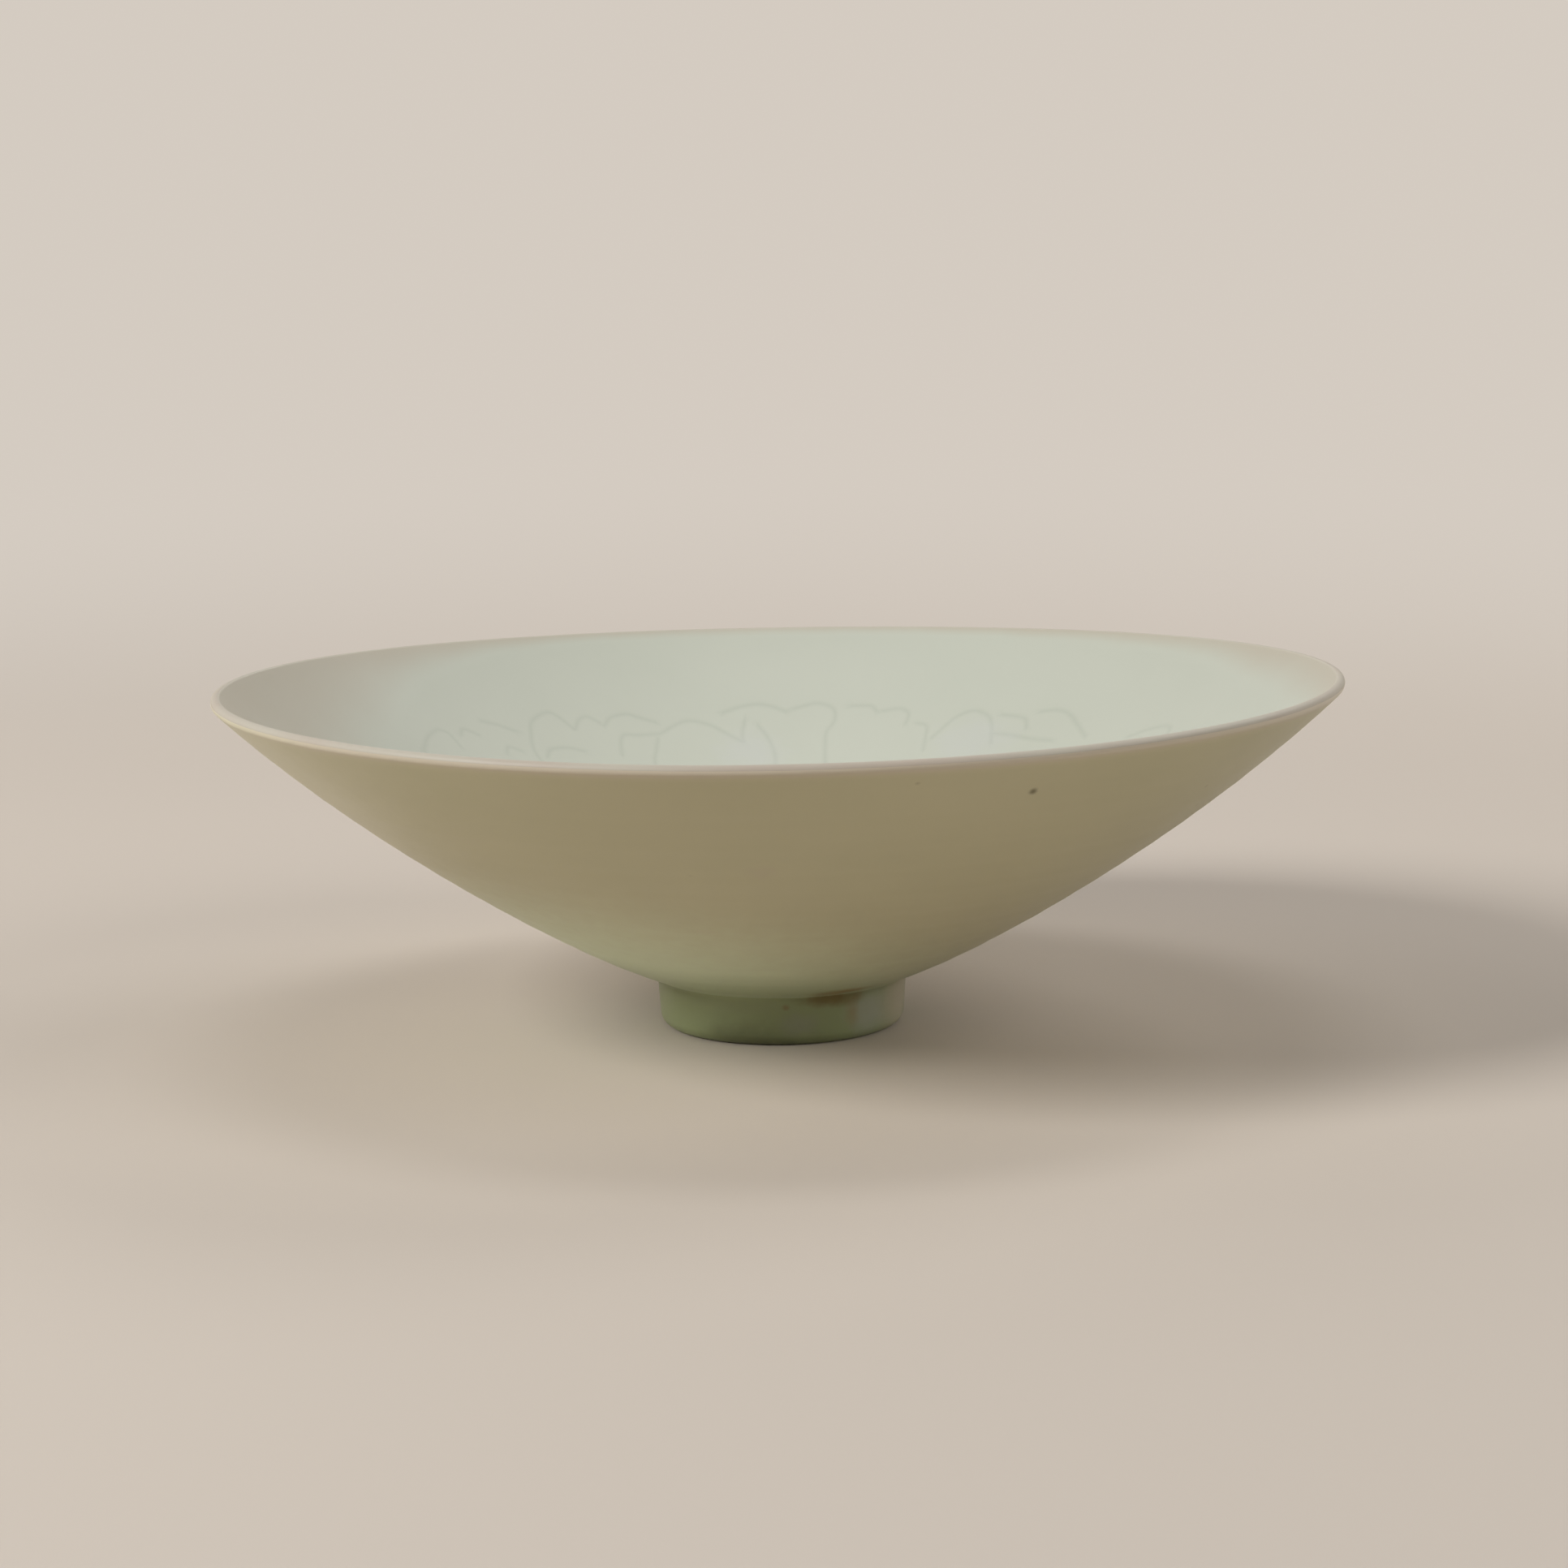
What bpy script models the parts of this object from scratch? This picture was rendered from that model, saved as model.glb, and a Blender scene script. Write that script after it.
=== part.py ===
"""Celadon bowl: a thin thrown bowl on a small foot ring, glazed inside, outside and under the foot.

Units are metres and +Z is up. The origin is on the bowl's axis, on the plane that the foot stands on.
Every piece is turned: its half section is drawn at +X and swept round the axis. The finished faces of
the bowl are drawn first, and each coat of glaze and the clay under it are set back from those faces.
"""
import math

import bpy
from mathutils import Vector

OBJECT_NAME = "celadon_bowl"

# Overall size
RIM_RADIUS = 0.0900
BOWL_HEIGHT = 0.0571

# Outer wall: it leaves the foot at one slope and reaches the lip at another, and each end keeps its
# slope for a share of the straight distance between foot and lip
WALL_SLOPE_AT_FOOT = math.radians(16.0)
WALL_SLOPE_AT_LIP = math.radians(44.5)
FOOT_END_PULL = 0.12
LIP_END_PULL = 0.415

# Thicknesses of the finished wall, with its glaze, and of the floor over the recess
LIP_THICKNESS = 0.0018
WALL_THICKNESS_AT_FOOT = 0.0042
FLOOR_THICKNESS = 0.0056

# Foot: its radius at the corner with the wall, how much narrower it gets downwards, the width of the ring,
# and the rounding of the standing edge on its outside and towards the recess
FOOT_RADIUS = 0.0203
FOOT_HEIGHT = 0.0082
FOOT_TAPER = 0.0006
FOOT_RIM_WIDTH = 0.0048
FOOT_OUTER_ROUND = 0.0020
FOOT_INNER_ROUND = 0.0006
RECESS_DEPTH = 0.0052

# Coats of glaze, which thin out towards the lip
GLAZE_AT_LIP = 0.00015
INSIDE_GLAZE = 0.00035
OUTSIDE_GLAZE = 0.00035
FOOT_GLAZE = 0.00035
BASE_GLAZE = 0.00035

# Clearance between pieces, the smallest rounding of a hidden corner, and the widest rounding of the standing
# edge as a share of the ring's width
FIT_GAP = 0.0002
EDGE_BREAK = 0.00005
WIDEST_ROUND = 0.45

# Points along the wall, the floor and the two roundings of the foot, and facets round the axis
WALL_STATIONS = 11
FLOOR_STATIONS = 4
OUTER_ROUND_STATIONS = 6
INNER_ROUND_STATIONS = 3
FACETS_ROUND = 60
MERGE_DISTANCE = 0.000001

# Places that follow from the sizes
LIP_RADIUS = LIP_THICKNESS / 2
LIP_CENTRE = Vector((RIM_RADIUS - LIP_RADIUS, BOWL_HEIGHT - LIP_RADIUS))
FOOT_CORNER = Vector((FOOT_RADIUS, FOOT_HEIGHT))
FOOT_LEAN = math.atan(FOOT_TAPER / FOOT_HEIGHT)
FOOT_BOTTOM_RADIUS = FOOT_RADIUS - FOOT_TAPER
RECESS_RADIUS = FOOT_BOTTOM_RADIUS - FOOT_RIM_WIDTH
FLOOR_TOP = RECESS_DEPTH + FLOOR_THICKNESS
BASE_COAT_TOP = RECESS_DEPTH + BASE_GLAZE

# Colours (linear), roughness
PORCELAIN = ((0.62, 0.55, 0.46, 1.0), 0.55)
INSIDE_COLOUR = ((0.55, 0.58, 0.48, 1.0), 0.16)
OUTSIDE_COLOUR = ((0.48, 0.47, 0.34, 1.0), 0.18)
FOOT_COLOUR = ((0.36, 0.37, 0.25, 1.0), 0.20)


def mix(start, end, share):
    """Value at a share of the way from start to end."""
    return start + (end - start) * share


def polar(centre, radius, angle):
    """Point at an angle on a circle in the half section."""
    return centre + Vector((math.cos(angle), math.sin(angle))) * radius


def arc(centre, radius, start, end, stations):
    """Points of a rounded edge from one angle to another."""
    last = stations - 1
    return [polar(centre, radius, mix(start, end, i / last)) for i in range(stations)]


def lip_axes():
    """Direction of the wall at the lip, and its outward normal."""
    along = Vector((math.cos(WALL_SLOPE_AT_LIP), math.sin(WALL_SLOPE_AT_LIP)))
    return along, Vector((along.y, -along.x))


def wall_point(share):
    """Point and outward normal on the finished outer wall, from the foot corner (0) to the lip (1)."""
    along_lip, out_lip = lip_axes()
    along_foot = Vector((math.cos(WALL_SLOPE_AT_FOOT), math.sin(WALL_SLOPE_AT_FOOT)))
    start = FOOT_CORNER
    end = LIP_CENTRE + out_lip * LIP_RADIUS - along_lip * FIT_GAP
    reach = (end - start).length
    pull_start = start + along_foot * (FOOT_END_PULL * reach)
    pull_end = end - along_lip * (LIP_END_PULL * reach)
    rest = 1.0 - share
    point = (start * rest ** 3 + pull_start * (3 * rest ** 2 * share)
             + pull_end * (3 * rest * share ** 2) + end * share ** 3)
    along = ((pull_start - start) * rest ** 2 + (pull_end - pull_start) * (2 * rest * share)
             + (end - pull_end) * share ** 2).normalized()
    return point, Vector((along.y, -along.x))


def wall_thickness(share):
    """Finished thickness of the wall, which swells from the lip down to the foot."""
    return mix(LIP_THICKNESS, WALL_THICKNESS_AT_FOOT, (1.0 - share) ** 2)


def wall_shares():
    """Stations along the wall, from the foot to the lip."""
    return [i / (WALL_STATIONS - 1) for i in range(WALL_STATIONS)]


def outer_face(depth_at_foot, depth_at_lip):
    """Outer wall from the foot to the lip, set back from the finished face by these depths."""
    points = []
    for share in wall_shares():
        point, out = wall_point(share)
        points.append(point - out * mix(depth_at_foot, depth_at_lip, share))
    return points


def inner_face(depth_at_floor, depth_at_lip):
    """Inside from the axis over the dished floor to the lip, set back from the finished face."""
    wall = []
    for share in wall_shares():
        point, out = wall_point(share)
        depth = mix(depth_at_floor, depth_at_lip, share)
        wall.append(point - out * (wall_thickness(share) - depth))
    centre_height = FLOOR_TOP - depth_at_floor
    floor = []
    for i in range(FLOOR_STATIONS):
        share = i / FLOOR_STATIONS
        floor.append(Vector((wall[0].x * share, mix(centre_height, wall[0].y, share ** 2))))
    return floor + wall


def lip_nose():
    """Round bare lip, from its inner shoulder over the crown to its outer shoulder."""
    quarter = math.pi / 2
    angles = (quarter + WALL_SLOPE_AT_LIP, quarter, quarter / 2, 0.0, WALL_SLOPE_AT_LIP - quarter)
    return [polar(LIP_CENTRE, LIP_RADIUS, angle) for angle in angles]


def foot_outer_radius(height, depth):
    """Radius of the leaning outer face of the foot at a height, set back by a depth."""
    return FOOT_BOTTOM_RADIUS + height * math.tan(FOOT_LEAN) - depth / math.cos(FOOT_LEAN)


def rounding(full, depth):
    """Radius of a rounded edge on a face that is set back by a depth; both edges leave a flat between them."""
    return max(min(full, FOOT_RIM_WIDTH * WIDEST_ROUND) - depth, EDGE_BREAK)


def foot_face(depth, outer_top, inner_top):
    """Foot from the top of its outer face, round the standing edge, to the top of the recess wall."""
    down = -math.pi / 2
    outer = rounding(FOOT_OUTER_ROUND, depth)
    inner = rounding(FOOT_INNER_ROUND, depth)
    outer_inset = depth + outer
    inner_inset = depth + inner
    outer_centre = Vector((foot_outer_radius(outer_inset, outer_inset), outer_inset))
    inner_centre = Vector((RECESS_RADIUS + inner_inset, inner_inset))
    points = [Vector((foot_outer_radius(outer_top, depth), outer_top))]
    points += arc(outer_centre, outer, -FOOT_LEAN, down, OUTER_ROUND_STATIONS)
    points += arc(inner_centre, inner, down, -math.pi, INNER_ROUND_STATIONS)
    points.append(Vector((RECESS_RADIUS + depth, inner_top)))
    return points


def body_seat():
    """Height of the body's underside where the foot ring is seated."""
    return outer_face(OUTSIDE_GLAZE + FIT_GAP, GLAZE_AT_LIP + FIT_GAP)[0].y


def porcelain_body_section():
    """Thrown wall and floor, with a low boss that the foot ring fits round."""
    along_lip, _ = lip_axes()
    shoulder = along_lip * FIT_GAP
    inside = inner_face(INSIDE_GLAZE + FIT_GAP, GLAZE_AT_LIP + FIT_GAP)
    outside = outer_face(OUTSIDE_GLAZE + FIT_GAP, GLAZE_AT_LIP + FIT_GAP)
    inside[-1] = inside[-1] + shoulder
    outside[-1] = outside[-1] + shoulder
    boss_radius = RECESS_RADIUS + FOOT_GLAZE
    boss_height = BASE_COAT_TOP + FIT_GAP
    boss = [(boss_radius, body_seat()), (boss_radius, boss_height), (0.0, boss_height)]
    return inside + lip_nose() + outside[::-1] + [Vector(point) for point in boss]


def foot_ring_section():
    """Ring that carries the bowl, seated under the body and round its boss."""
    top = body_seat() - FIT_GAP
    return foot_face(FOOT_GLAZE + FIT_GAP, top, top)


def inside_glaze_section():
    """Coat over the floor and the inner wall, up to the bare lip."""
    return inner_face(0.0, 0.0) + inner_face(INSIDE_GLAZE, GLAZE_AT_LIP)[::-1]


def outside_glaze_section():
    """Coat over the outer wall, from the bare lip down to the corner at the foot."""
    return outer_face(0.0, 0.0)[::-1] + outer_face(OUTSIDE_GLAZE, GLAZE_AT_LIP)


def foot_glaze_section():
    """Coat that wraps the outer face, the standing edge and the recess wall of the foot."""
    outer_top = FOOT_HEIGHT - FIT_GAP
    shown = foot_face(0.0, outer_top, BASE_COAT_TOP)
    hidden = foot_face(FOOT_GLAZE, outer_top, BASE_COAT_TOP)
    return shown + hidden[::-1]


def base_glaze_section():
    """Coat on the base, inside the foot ring."""
    radius = RECESS_RADIUS - FIT_GAP
    corners = ((0.0, BASE_COAT_TOP), (radius, BASE_COAT_TOP), (radius, RECESS_DEPTH), (0.0, RECESS_DEPTH))
    return [Vector(corner) for corner in corners]


def finish(name, look):
    """Principled material with a piece's colour and roughness."""
    colour, roughness = look
    material = bpy.data.materials.new(name)
    material.use_nodes = True
    shader = material.node_tree.nodes["Principled BSDF"]
    shader.inputs["Base Color"].default_value = colour
    shader.inputs["Roughness"].default_value = roughness
    shader.inputs["Metallic"].default_value = 0.0
    return material


def turned_piece(name, section, on_axis, look, collection, origin):
    """Object whose half section is swept round the bowl's axis; a ring's section is a closed loop."""
    edges = [(i, i + 1) for i in range(len(section) - 1)]
    if not on_axis:
        edges.append((len(section) - 1, 0))
    mesh = bpy.data.meshes.new(name)
    mesh.from_pydata([(point.x, 0.0, point.y) for point in section], edges, [])
    mesh.materials.append(finish(name, look))
    piece = bpy.data.objects.new(name, mesh)
    collection.objects.link(piece)
    piece.parent = origin
    screw = piece.modifiers.new("Turn", "SCREW")
    screw.axis = "Z"
    screw.angle = math.tau
    screw.steps = FACETS_ROUND
    screw.render_steps = FACETS_ROUND
    screw.use_merge_vertices = True
    screw.merge_threshold = MERGE_DISTANCE
    screw.use_smooth_shade = True
    return piece


def main():
    """Clear the scene and build the bowl."""
    for old in list(bpy.data.objects):
        bpy.data.objects.remove(old, do_unlink=True)
    collection = bpy.data.collections.new(OBJECT_NAME)
    bpy.context.scene.collection.children.link(collection)
    origin = bpy.data.objects.new("bowl_axis", None)
    collection.objects.link(origin)
    turned_piece("porcelain_body", porcelain_body_section(), True, PORCELAIN, collection, origin)
    turned_piece("foot_ring", foot_ring_section(), False, PORCELAIN, collection, origin)
    turned_piece("inside_glaze", inside_glaze_section(), True, INSIDE_COLOUR, collection, origin)
    turned_piece("outside_glaze", outside_glaze_section(), False, OUTSIDE_COLOUR, collection, origin)
    turned_piece("foot_glaze", foot_glaze_section(), False, FOOT_COLOUR, collection, origin)
    turned_piece("base_glaze", base_glaze_section(), True, FOOT_COLOUR, collection, origin)


main()
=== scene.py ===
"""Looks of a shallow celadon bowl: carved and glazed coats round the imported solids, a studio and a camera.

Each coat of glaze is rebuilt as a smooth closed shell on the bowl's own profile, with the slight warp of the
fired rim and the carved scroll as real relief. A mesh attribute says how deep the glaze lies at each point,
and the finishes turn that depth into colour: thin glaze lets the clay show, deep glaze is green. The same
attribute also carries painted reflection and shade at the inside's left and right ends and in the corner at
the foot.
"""
import logging
import math
from dataclasses import dataclass
from enum import Enum

import bpy
import numpy as np
from mathutils import Matrix, Vector
from mathutils.geometry import delaunay_2d_cdt
from mathutils.kdtree import KDTree


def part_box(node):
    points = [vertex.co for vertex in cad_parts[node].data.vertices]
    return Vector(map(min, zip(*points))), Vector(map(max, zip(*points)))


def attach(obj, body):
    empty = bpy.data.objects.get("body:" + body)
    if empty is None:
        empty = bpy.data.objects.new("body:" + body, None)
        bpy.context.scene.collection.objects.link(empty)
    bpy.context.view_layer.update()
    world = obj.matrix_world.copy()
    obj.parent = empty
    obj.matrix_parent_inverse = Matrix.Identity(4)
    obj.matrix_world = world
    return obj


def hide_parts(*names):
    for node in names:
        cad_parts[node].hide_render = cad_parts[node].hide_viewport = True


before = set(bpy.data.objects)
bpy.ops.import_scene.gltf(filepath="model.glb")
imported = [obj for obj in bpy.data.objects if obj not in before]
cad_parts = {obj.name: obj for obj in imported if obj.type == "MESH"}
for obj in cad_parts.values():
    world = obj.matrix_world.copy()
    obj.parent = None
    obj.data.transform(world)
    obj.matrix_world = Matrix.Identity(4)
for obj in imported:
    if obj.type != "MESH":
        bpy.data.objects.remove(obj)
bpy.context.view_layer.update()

MM = 0.001
QUARTER = math.pi / 2
CREASE = math.radians(50.0)
BODY = "root"
BOWL_MIDDLE = (0.0, 0.0, 0.03)
# Mesh attribute of the glaze's depth, which also carries painted reflection and shade.
PAINTED_LIGHT_AND_DEPTH_ATTRIBUTE = "glaze_depth_and_painted_light"

Triple = tuple[float, float, float]
Faces = list[tuple[int, ...]]
Wires = dict[str | int, object]

log = logging.getLogger("celadon_bowl")


class Slot(Enum):
    """Material slots of the record."""

    PORCELAIN = "porcelain"
    INSIDE = "inside_glaze"
    OUTSIDE = "outside_glaze"
    FOOT = "foot_glaze"


def heading(angle: np.ndarray | float) -> np.ndarray:
    """Unit vector at an angle, or one a row at several."""
    return np.stack((np.cos(angle), np.sin(angle)), axis=-1)


def circle(count: int, shift: float = 0.0) -> np.ndarray:
    """Points evenly round a unit circle, turned on by a share of their spacing."""
    return heading((np.arange(count) + shift) * (math.tau / count))


def smooth_step(value: np.ndarray, low: float, high: float) -> np.ndarray:
    """Rises smoothly from 0 at low to 1 at high."""
    share = np.clip((value - low) / (high - low), 0.0, 1.0)
    return share * share * (3.0 - 2.0 * share)


def lobe(share: np.ndarray, valley: float, crown: float, fullness: float) -> np.ndarray:
    """Edge of a petal that swells from a valley to its crown and back; a low fullness gives a blunt one."""
    return valley + (crown - valley) * np.sin(share * math.pi) ** fullness


def unit(vectors: np.ndarray) -> np.ndarray:
    """Vectors of length 1 in the same directions."""
    return vectors / np.linalg.norm(vectors, axis=-1, keepdims=True)


def right_of(along: np.ndarray) -> np.ndarray:
    """Directions to the right of others, one a row."""
    return np.column_stack((along[:, 1], -along[:, 0]))


def rounded(before: np.ndarray, corner: np.ndarray, after: np.ndarray, radius: float,
            count: int) -> np.ndarray:
    """Rounds a corner of a half section with an arc.

    Args:
        before: Any point on the line that comes to the corner.
        corner: The sharp corner.
        after: Any point on the line that leaves it.
        radius: Radius of the arc.
        count: Number of points.

    Returns:
        Points of the arc, one a row.
    """
    back, ahead = unit(before - corner), unit(after - corner)
    half = math.acos(float(back @ ahead)) / 2
    centre = corner + unit(back + ahead) * (radius / math.sin(half))
    start = corner + back * (radius / math.tan(half)) - centre
    end = corner + ahead * (radius / math.tan(half)) - centre
    sweep = math.pi - 2 * half
    share = np.linspace(0.0, sweep, count)[:, None]
    return centre + (np.sin(sweep - share) * start + np.sin(share) * end) / math.sin(sweep)


def halves(line: np.ndarray) -> tuple[np.ndarray, np.ndarray]:
    """Parts a line with an odd number of points at its middle point, which both halves keep."""
    middle = len(line) // 2
    return line[:middle + 1], line[middle:]


def set_back(line: np.ndarray, depth: np.ndarray | float) -> np.ndarray:
    """Moves a line of the half section to its right, which is into the material.

    Args:
        line: Points of the line, one a row.
        depth: How far, for the whole line or for each point.

    Returns:
        The moved points.
    """
    right = right_of(unit(np.gradient(line, axis=0)))
    return line + right * np.broadcast_to(depth, len(line))[:, None]


def run_length(line: np.ndarray) -> np.ndarray:
    """Distance along a line at each of its points."""
    steps = np.linalg.norm(np.diff(line, axis=0), axis=1)
    return np.concatenate(((0.0,), np.cumsum(steps)))


def thinned(line: np.ndarray, count: int, kept: int) -> np.ndarray:
    """About count evenly spread points of a line, and all its last kept points."""
    spread = np.linspace(0, len(line) - 1, count).astype(int)
    return line[np.unique(np.concatenate((spread, np.arange(len(line) - kept, len(line)))))]


def put(name: str, data: bpy.types.ID) -> bpy.types.Object:
    """Puts a new object in the scene.

    Args:
        name: Its name.
        data: Its mesh, lamp or camera.

    Returns:
        The object.
    """
    made = bpy.data.objects.new(name, data)
    bpy.context.scene.collection.objects.link(made)
    return made


@dataclass(frozen=True)
class BowlForm:
    """Finished faces of the bowl as a half section, radius against height, in metres.

    Attributes:
        rim_radius: Radius over the lip.
        height: Height of the lip where the rim is highest.
        foot_height: Height of the corner between the foot and the wall.
        recess_depth: Depth of the recess under the foot.
        foot_radius: Radius at that corner.
        foot_taper: How much narrower the foot is at its standing edge.
        foot_rim_width: Width of the standing edge.
        floor_thickness: Thickness over the recess.
        slope_at_foot: Slope at which the wall leaves the foot.
        slope_at_lip: Slope at which it reaches the lip.
        foot_end_pull: Share of the wall's reach that keeps the lower slope.
        lip_end_pull: Share of the wall's reach that keeps the upper slope.
        lip_thickness: Thickness of the wall at the lip.
        wall_at_foot: Thickness of the wall at the foot.
        fit_gap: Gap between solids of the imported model.
        corner_round: Radius of the glaze that fills the corner at the foot.
        outer_round: Rounding of the standing edge on its outside.
        inner_round: Rounding of the standing edge and the base towards the recess.
        inner_cover: Angle by which the inside glaze climbs over the lip's inner shoulder.
        outer_cover: Angle by which the outside glaze climbs over the lip's outer shoulder.
        floor_rows: Points across the floor, from the axis to the wall.
        inner_rows: Points up the inner wall.
        outer_rows: Points down the outer wall.
        lip_rows: Points across the lip's inner shoulder.
        corner_rows: Points across the glaze in the corner at the foot, an odd number.
        recess_rows: Points across the glaze in the corner of the recess, an odd number.
        outer_edge_rows: Points round the standing edge on its outside.
        inner_edge_rows: Points round it on its inside.
        foot_rows: Points down the foot's face, with both its ends.
        base_rows: Points across the base, with both its ends.
    """

    rim_radius: float
    height: float
    foot_height: float
    recess_depth: float
    foot_radius: float = 20.3 * MM
    foot_taper: float = 0.6 * MM
    foot_rim_width: float = 4.8 * MM
    floor_thickness: float = 5.6 * MM
    slope_at_foot: float = math.radians(16.0)
    slope_at_lip: float = math.radians(44.5)
    foot_end_pull: float = 0.12
    lip_end_pull: float = 0.415
    lip_thickness: float = 1.8 * MM
    wall_at_foot: float = 4.2 * MM
    fit_gap: float = 0.2 * MM
    corner_round: float = 1.3 * MM
    outer_round: float = 2.0 * MM
    inner_round: float = 0.6 * MM
    inner_cover: float = math.radians(30.0)
    outer_cover: float = math.radians(55.0)
    floor_rows: int = 60
    inner_rows: int = 240
    outer_rows: int = 160
    lip_rows: int = 7
    corner_rows: int = 13
    recess_rows: int = 9
    outer_edge_rows: int = 15
    inner_edge_rows: int = 9
    foot_rows: int = 16
    base_rows: int = 14

    @classmethod
    def from_frame(cls) -> "BowlForm":
        """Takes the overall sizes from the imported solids.

        Returns:
            The form.
        """
        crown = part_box("porcelain_body")[1]
        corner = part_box("outside_glaze")[0]
        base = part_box("base_glaze")[0]
        return cls(rim_radius=crown.x, height=crown.z, foot_height=corner.z, recess_depth=base.z)

    @property
    def floor_top(self) -> float:
        """Height of the middle of the floor."""
        return self.recess_depth + self.floor_thickness

    @property
    def foot_corner(self) -> np.ndarray:
        """Sharp corner between the foot and the wall."""
        return np.array((self.foot_radius, self.foot_height))

    @property
    def standing_corner(self) -> np.ndarray:
        """Sharp outer corner of the standing edge."""
        return np.array((self.foot_radius - self.foot_taper, 0.0))

    @property
    def recess_radius(self) -> float:
        """Radius of the recess under the foot."""
        return self.foot_radius - self.foot_taper - self.foot_rim_width

    @property
    def inner_shoulder(self) -> float:
        """Angle on the round lip where the inner wall meets it."""
        return self.slope_at_lip + QUARTER

    @property
    def outer_shoulder(self) -> float:
        """Angle on the round lip where the outer wall meets it."""
        return self.slope_at_lip - QUARTER

    def lip_arc(self, start: float, end: float, count: int) -> np.ndarray:
        """Points of the round lip from one angle to another.

        Args:
            start: First angle, from the outward horizontal.
            end: Last angle.
            count: Number of points.

        Returns:
            The points, one a row.
        """
        radius = self.lip_thickness / 2
        centre = np.array((self.rim_radius - radius, self.height - radius))
        return centre + radius * heading(np.linspace(start, end, count))

    def wall(self, share: np.ndarray) -> tuple[np.ndarray, np.ndarray]:
        """Outer wall between the foot corner and the lip.

        Args:
            share: Places along the wall, 0 at the foot and 1 at the lip.

        Returns:
            Points and outward normals, one a row.
        """
        along_foot = heading(self.slope_at_foot)
        along_lip = heading(self.slope_at_lip)
        start = self.foot_corner
        end = self.lip_arc(self.outer_shoulder, self.outer_shoulder, 1)[0] - along_lip * self.fit_gap
        reach = np.linalg.norm(end - start)
        low = start + along_foot * (self.foot_end_pull * reach)
        high = end - along_lip * (self.lip_end_pull * reach)
        share = share[:, None]
        rest = 1.0 - share
        points = (start * rest ** 3 + 3 * low * rest ** 2 * share
                  + 3 * high * rest * share ** 2 + end * share ** 3)
        along = (low - start) * rest ** 2 + 2 * (high - low) * rest * share + (end - high) * share ** 2
        return points, right_of(unit(along))

    def inner_wall(self, share: np.ndarray) -> np.ndarray:
        """Inner wall, which thickens from the lip down to the foot.

        Args:
            share: Places along the wall, 0 at the foot and 1 at the lip.

        Returns:
            Points, one a row.
        """
        points, out = self.wall(share)
        thickness = self.lip_thickness + (self.wall_at_foot - self.lip_thickness) * (1.0 - share) ** 2
        return points - out * thickness[:, None]

    def inside_face(self) -> np.ndarray:
        """Finished inside from the axis to the edge of the glaze at the lip.

        Returns:
            Points, one a row.
        """
        wall = self.inner_wall(np.linspace(0.0, 1.0, self.inner_rows))
        share = np.linspace(0.0, 1.0, self.floor_rows, endpoint=False)
        heights = self.floor_top + (wall[0, 1] - self.floor_top) * share ** 2
        floor = np.column_stack((wall[0, 0] * share, heights))
        lip = self.lip_arc(self.inner_shoulder, self.inner_shoulder - self.inner_cover, self.lip_rows)
        return np.concatenate((floor, wall, lip))

    def corner_fill(self) -> tuple[np.ndarray, np.ndarray]:
        """Glaze that fills the corner at the foot.

        Returns:
            Points of its wall half and of its foot half.
        """
        up_wall = self.foot_corner + heading(self.slope_at_foot)
        return halves(rounded(up_wall, self.foot_corner, self.standing_corner, self.corner_round,
                              self.corner_rows))

    def recess_fill(self) -> tuple[np.ndarray, np.ndarray]:
        """Glaze that fills the corner of the recess, as its wall half and its base half."""
        top = np.array((self.recess_radius, self.recess_depth))
        return halves(rounded(top * (1.0, 0.0), top, top * (0.0, 1.0), self.inner_round, self.recess_rows))

    def outside_face(self) -> np.ndarray:
        """Finished outside from the edge of the glaze at the lip to the middle of the filled corner.

        Returns:
            Points, one a row.
        """
        lip = self.lip_arc(self.outer_shoulder + self.outer_cover, self.outer_shoulder, self.lip_rows + 1)
        wall, _ = self.wall(np.linspace(1.0, 0.0, self.outer_rows))
        fill, _ = self.corner_fill()
        return np.concatenate((lip, wall[wall[:, 0] > fill[0, 0] + self.fit_gap], fill))

    def foot_face(self) -> np.ndarray:
        """Finished foot from the middle of the filled corner, round the standing edge, to the recess.

        Returns:
            Points, one a row.
        """
        _, fill = self.corner_fill()
        recess, _ = self.recess_fill()
        inner_corner = np.array((self.recess_radius, 0.0))
        outer = rounded(self.foot_corner, self.standing_corner, inner_corner, self.outer_round,
                        self.outer_edge_rows)
        inner = rounded(self.standing_corner, inner_corner, recess[0], self.inner_round, self.inner_edge_rows)
        face = np.linspace(fill[-1], outer[0], self.foot_rows)[1:-1]
        return np.concatenate((fill, face, outer, inner, recess))

    def base_face(self) -> np.ndarray:
        """Finished base from the middle of the recess's corner to the axis."""
        _, fill = self.recess_fill()
        return np.concatenate((fill, np.linspace(fill[-1], (0.0, self.recess_depth), self.base_rows)[1:]))


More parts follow.
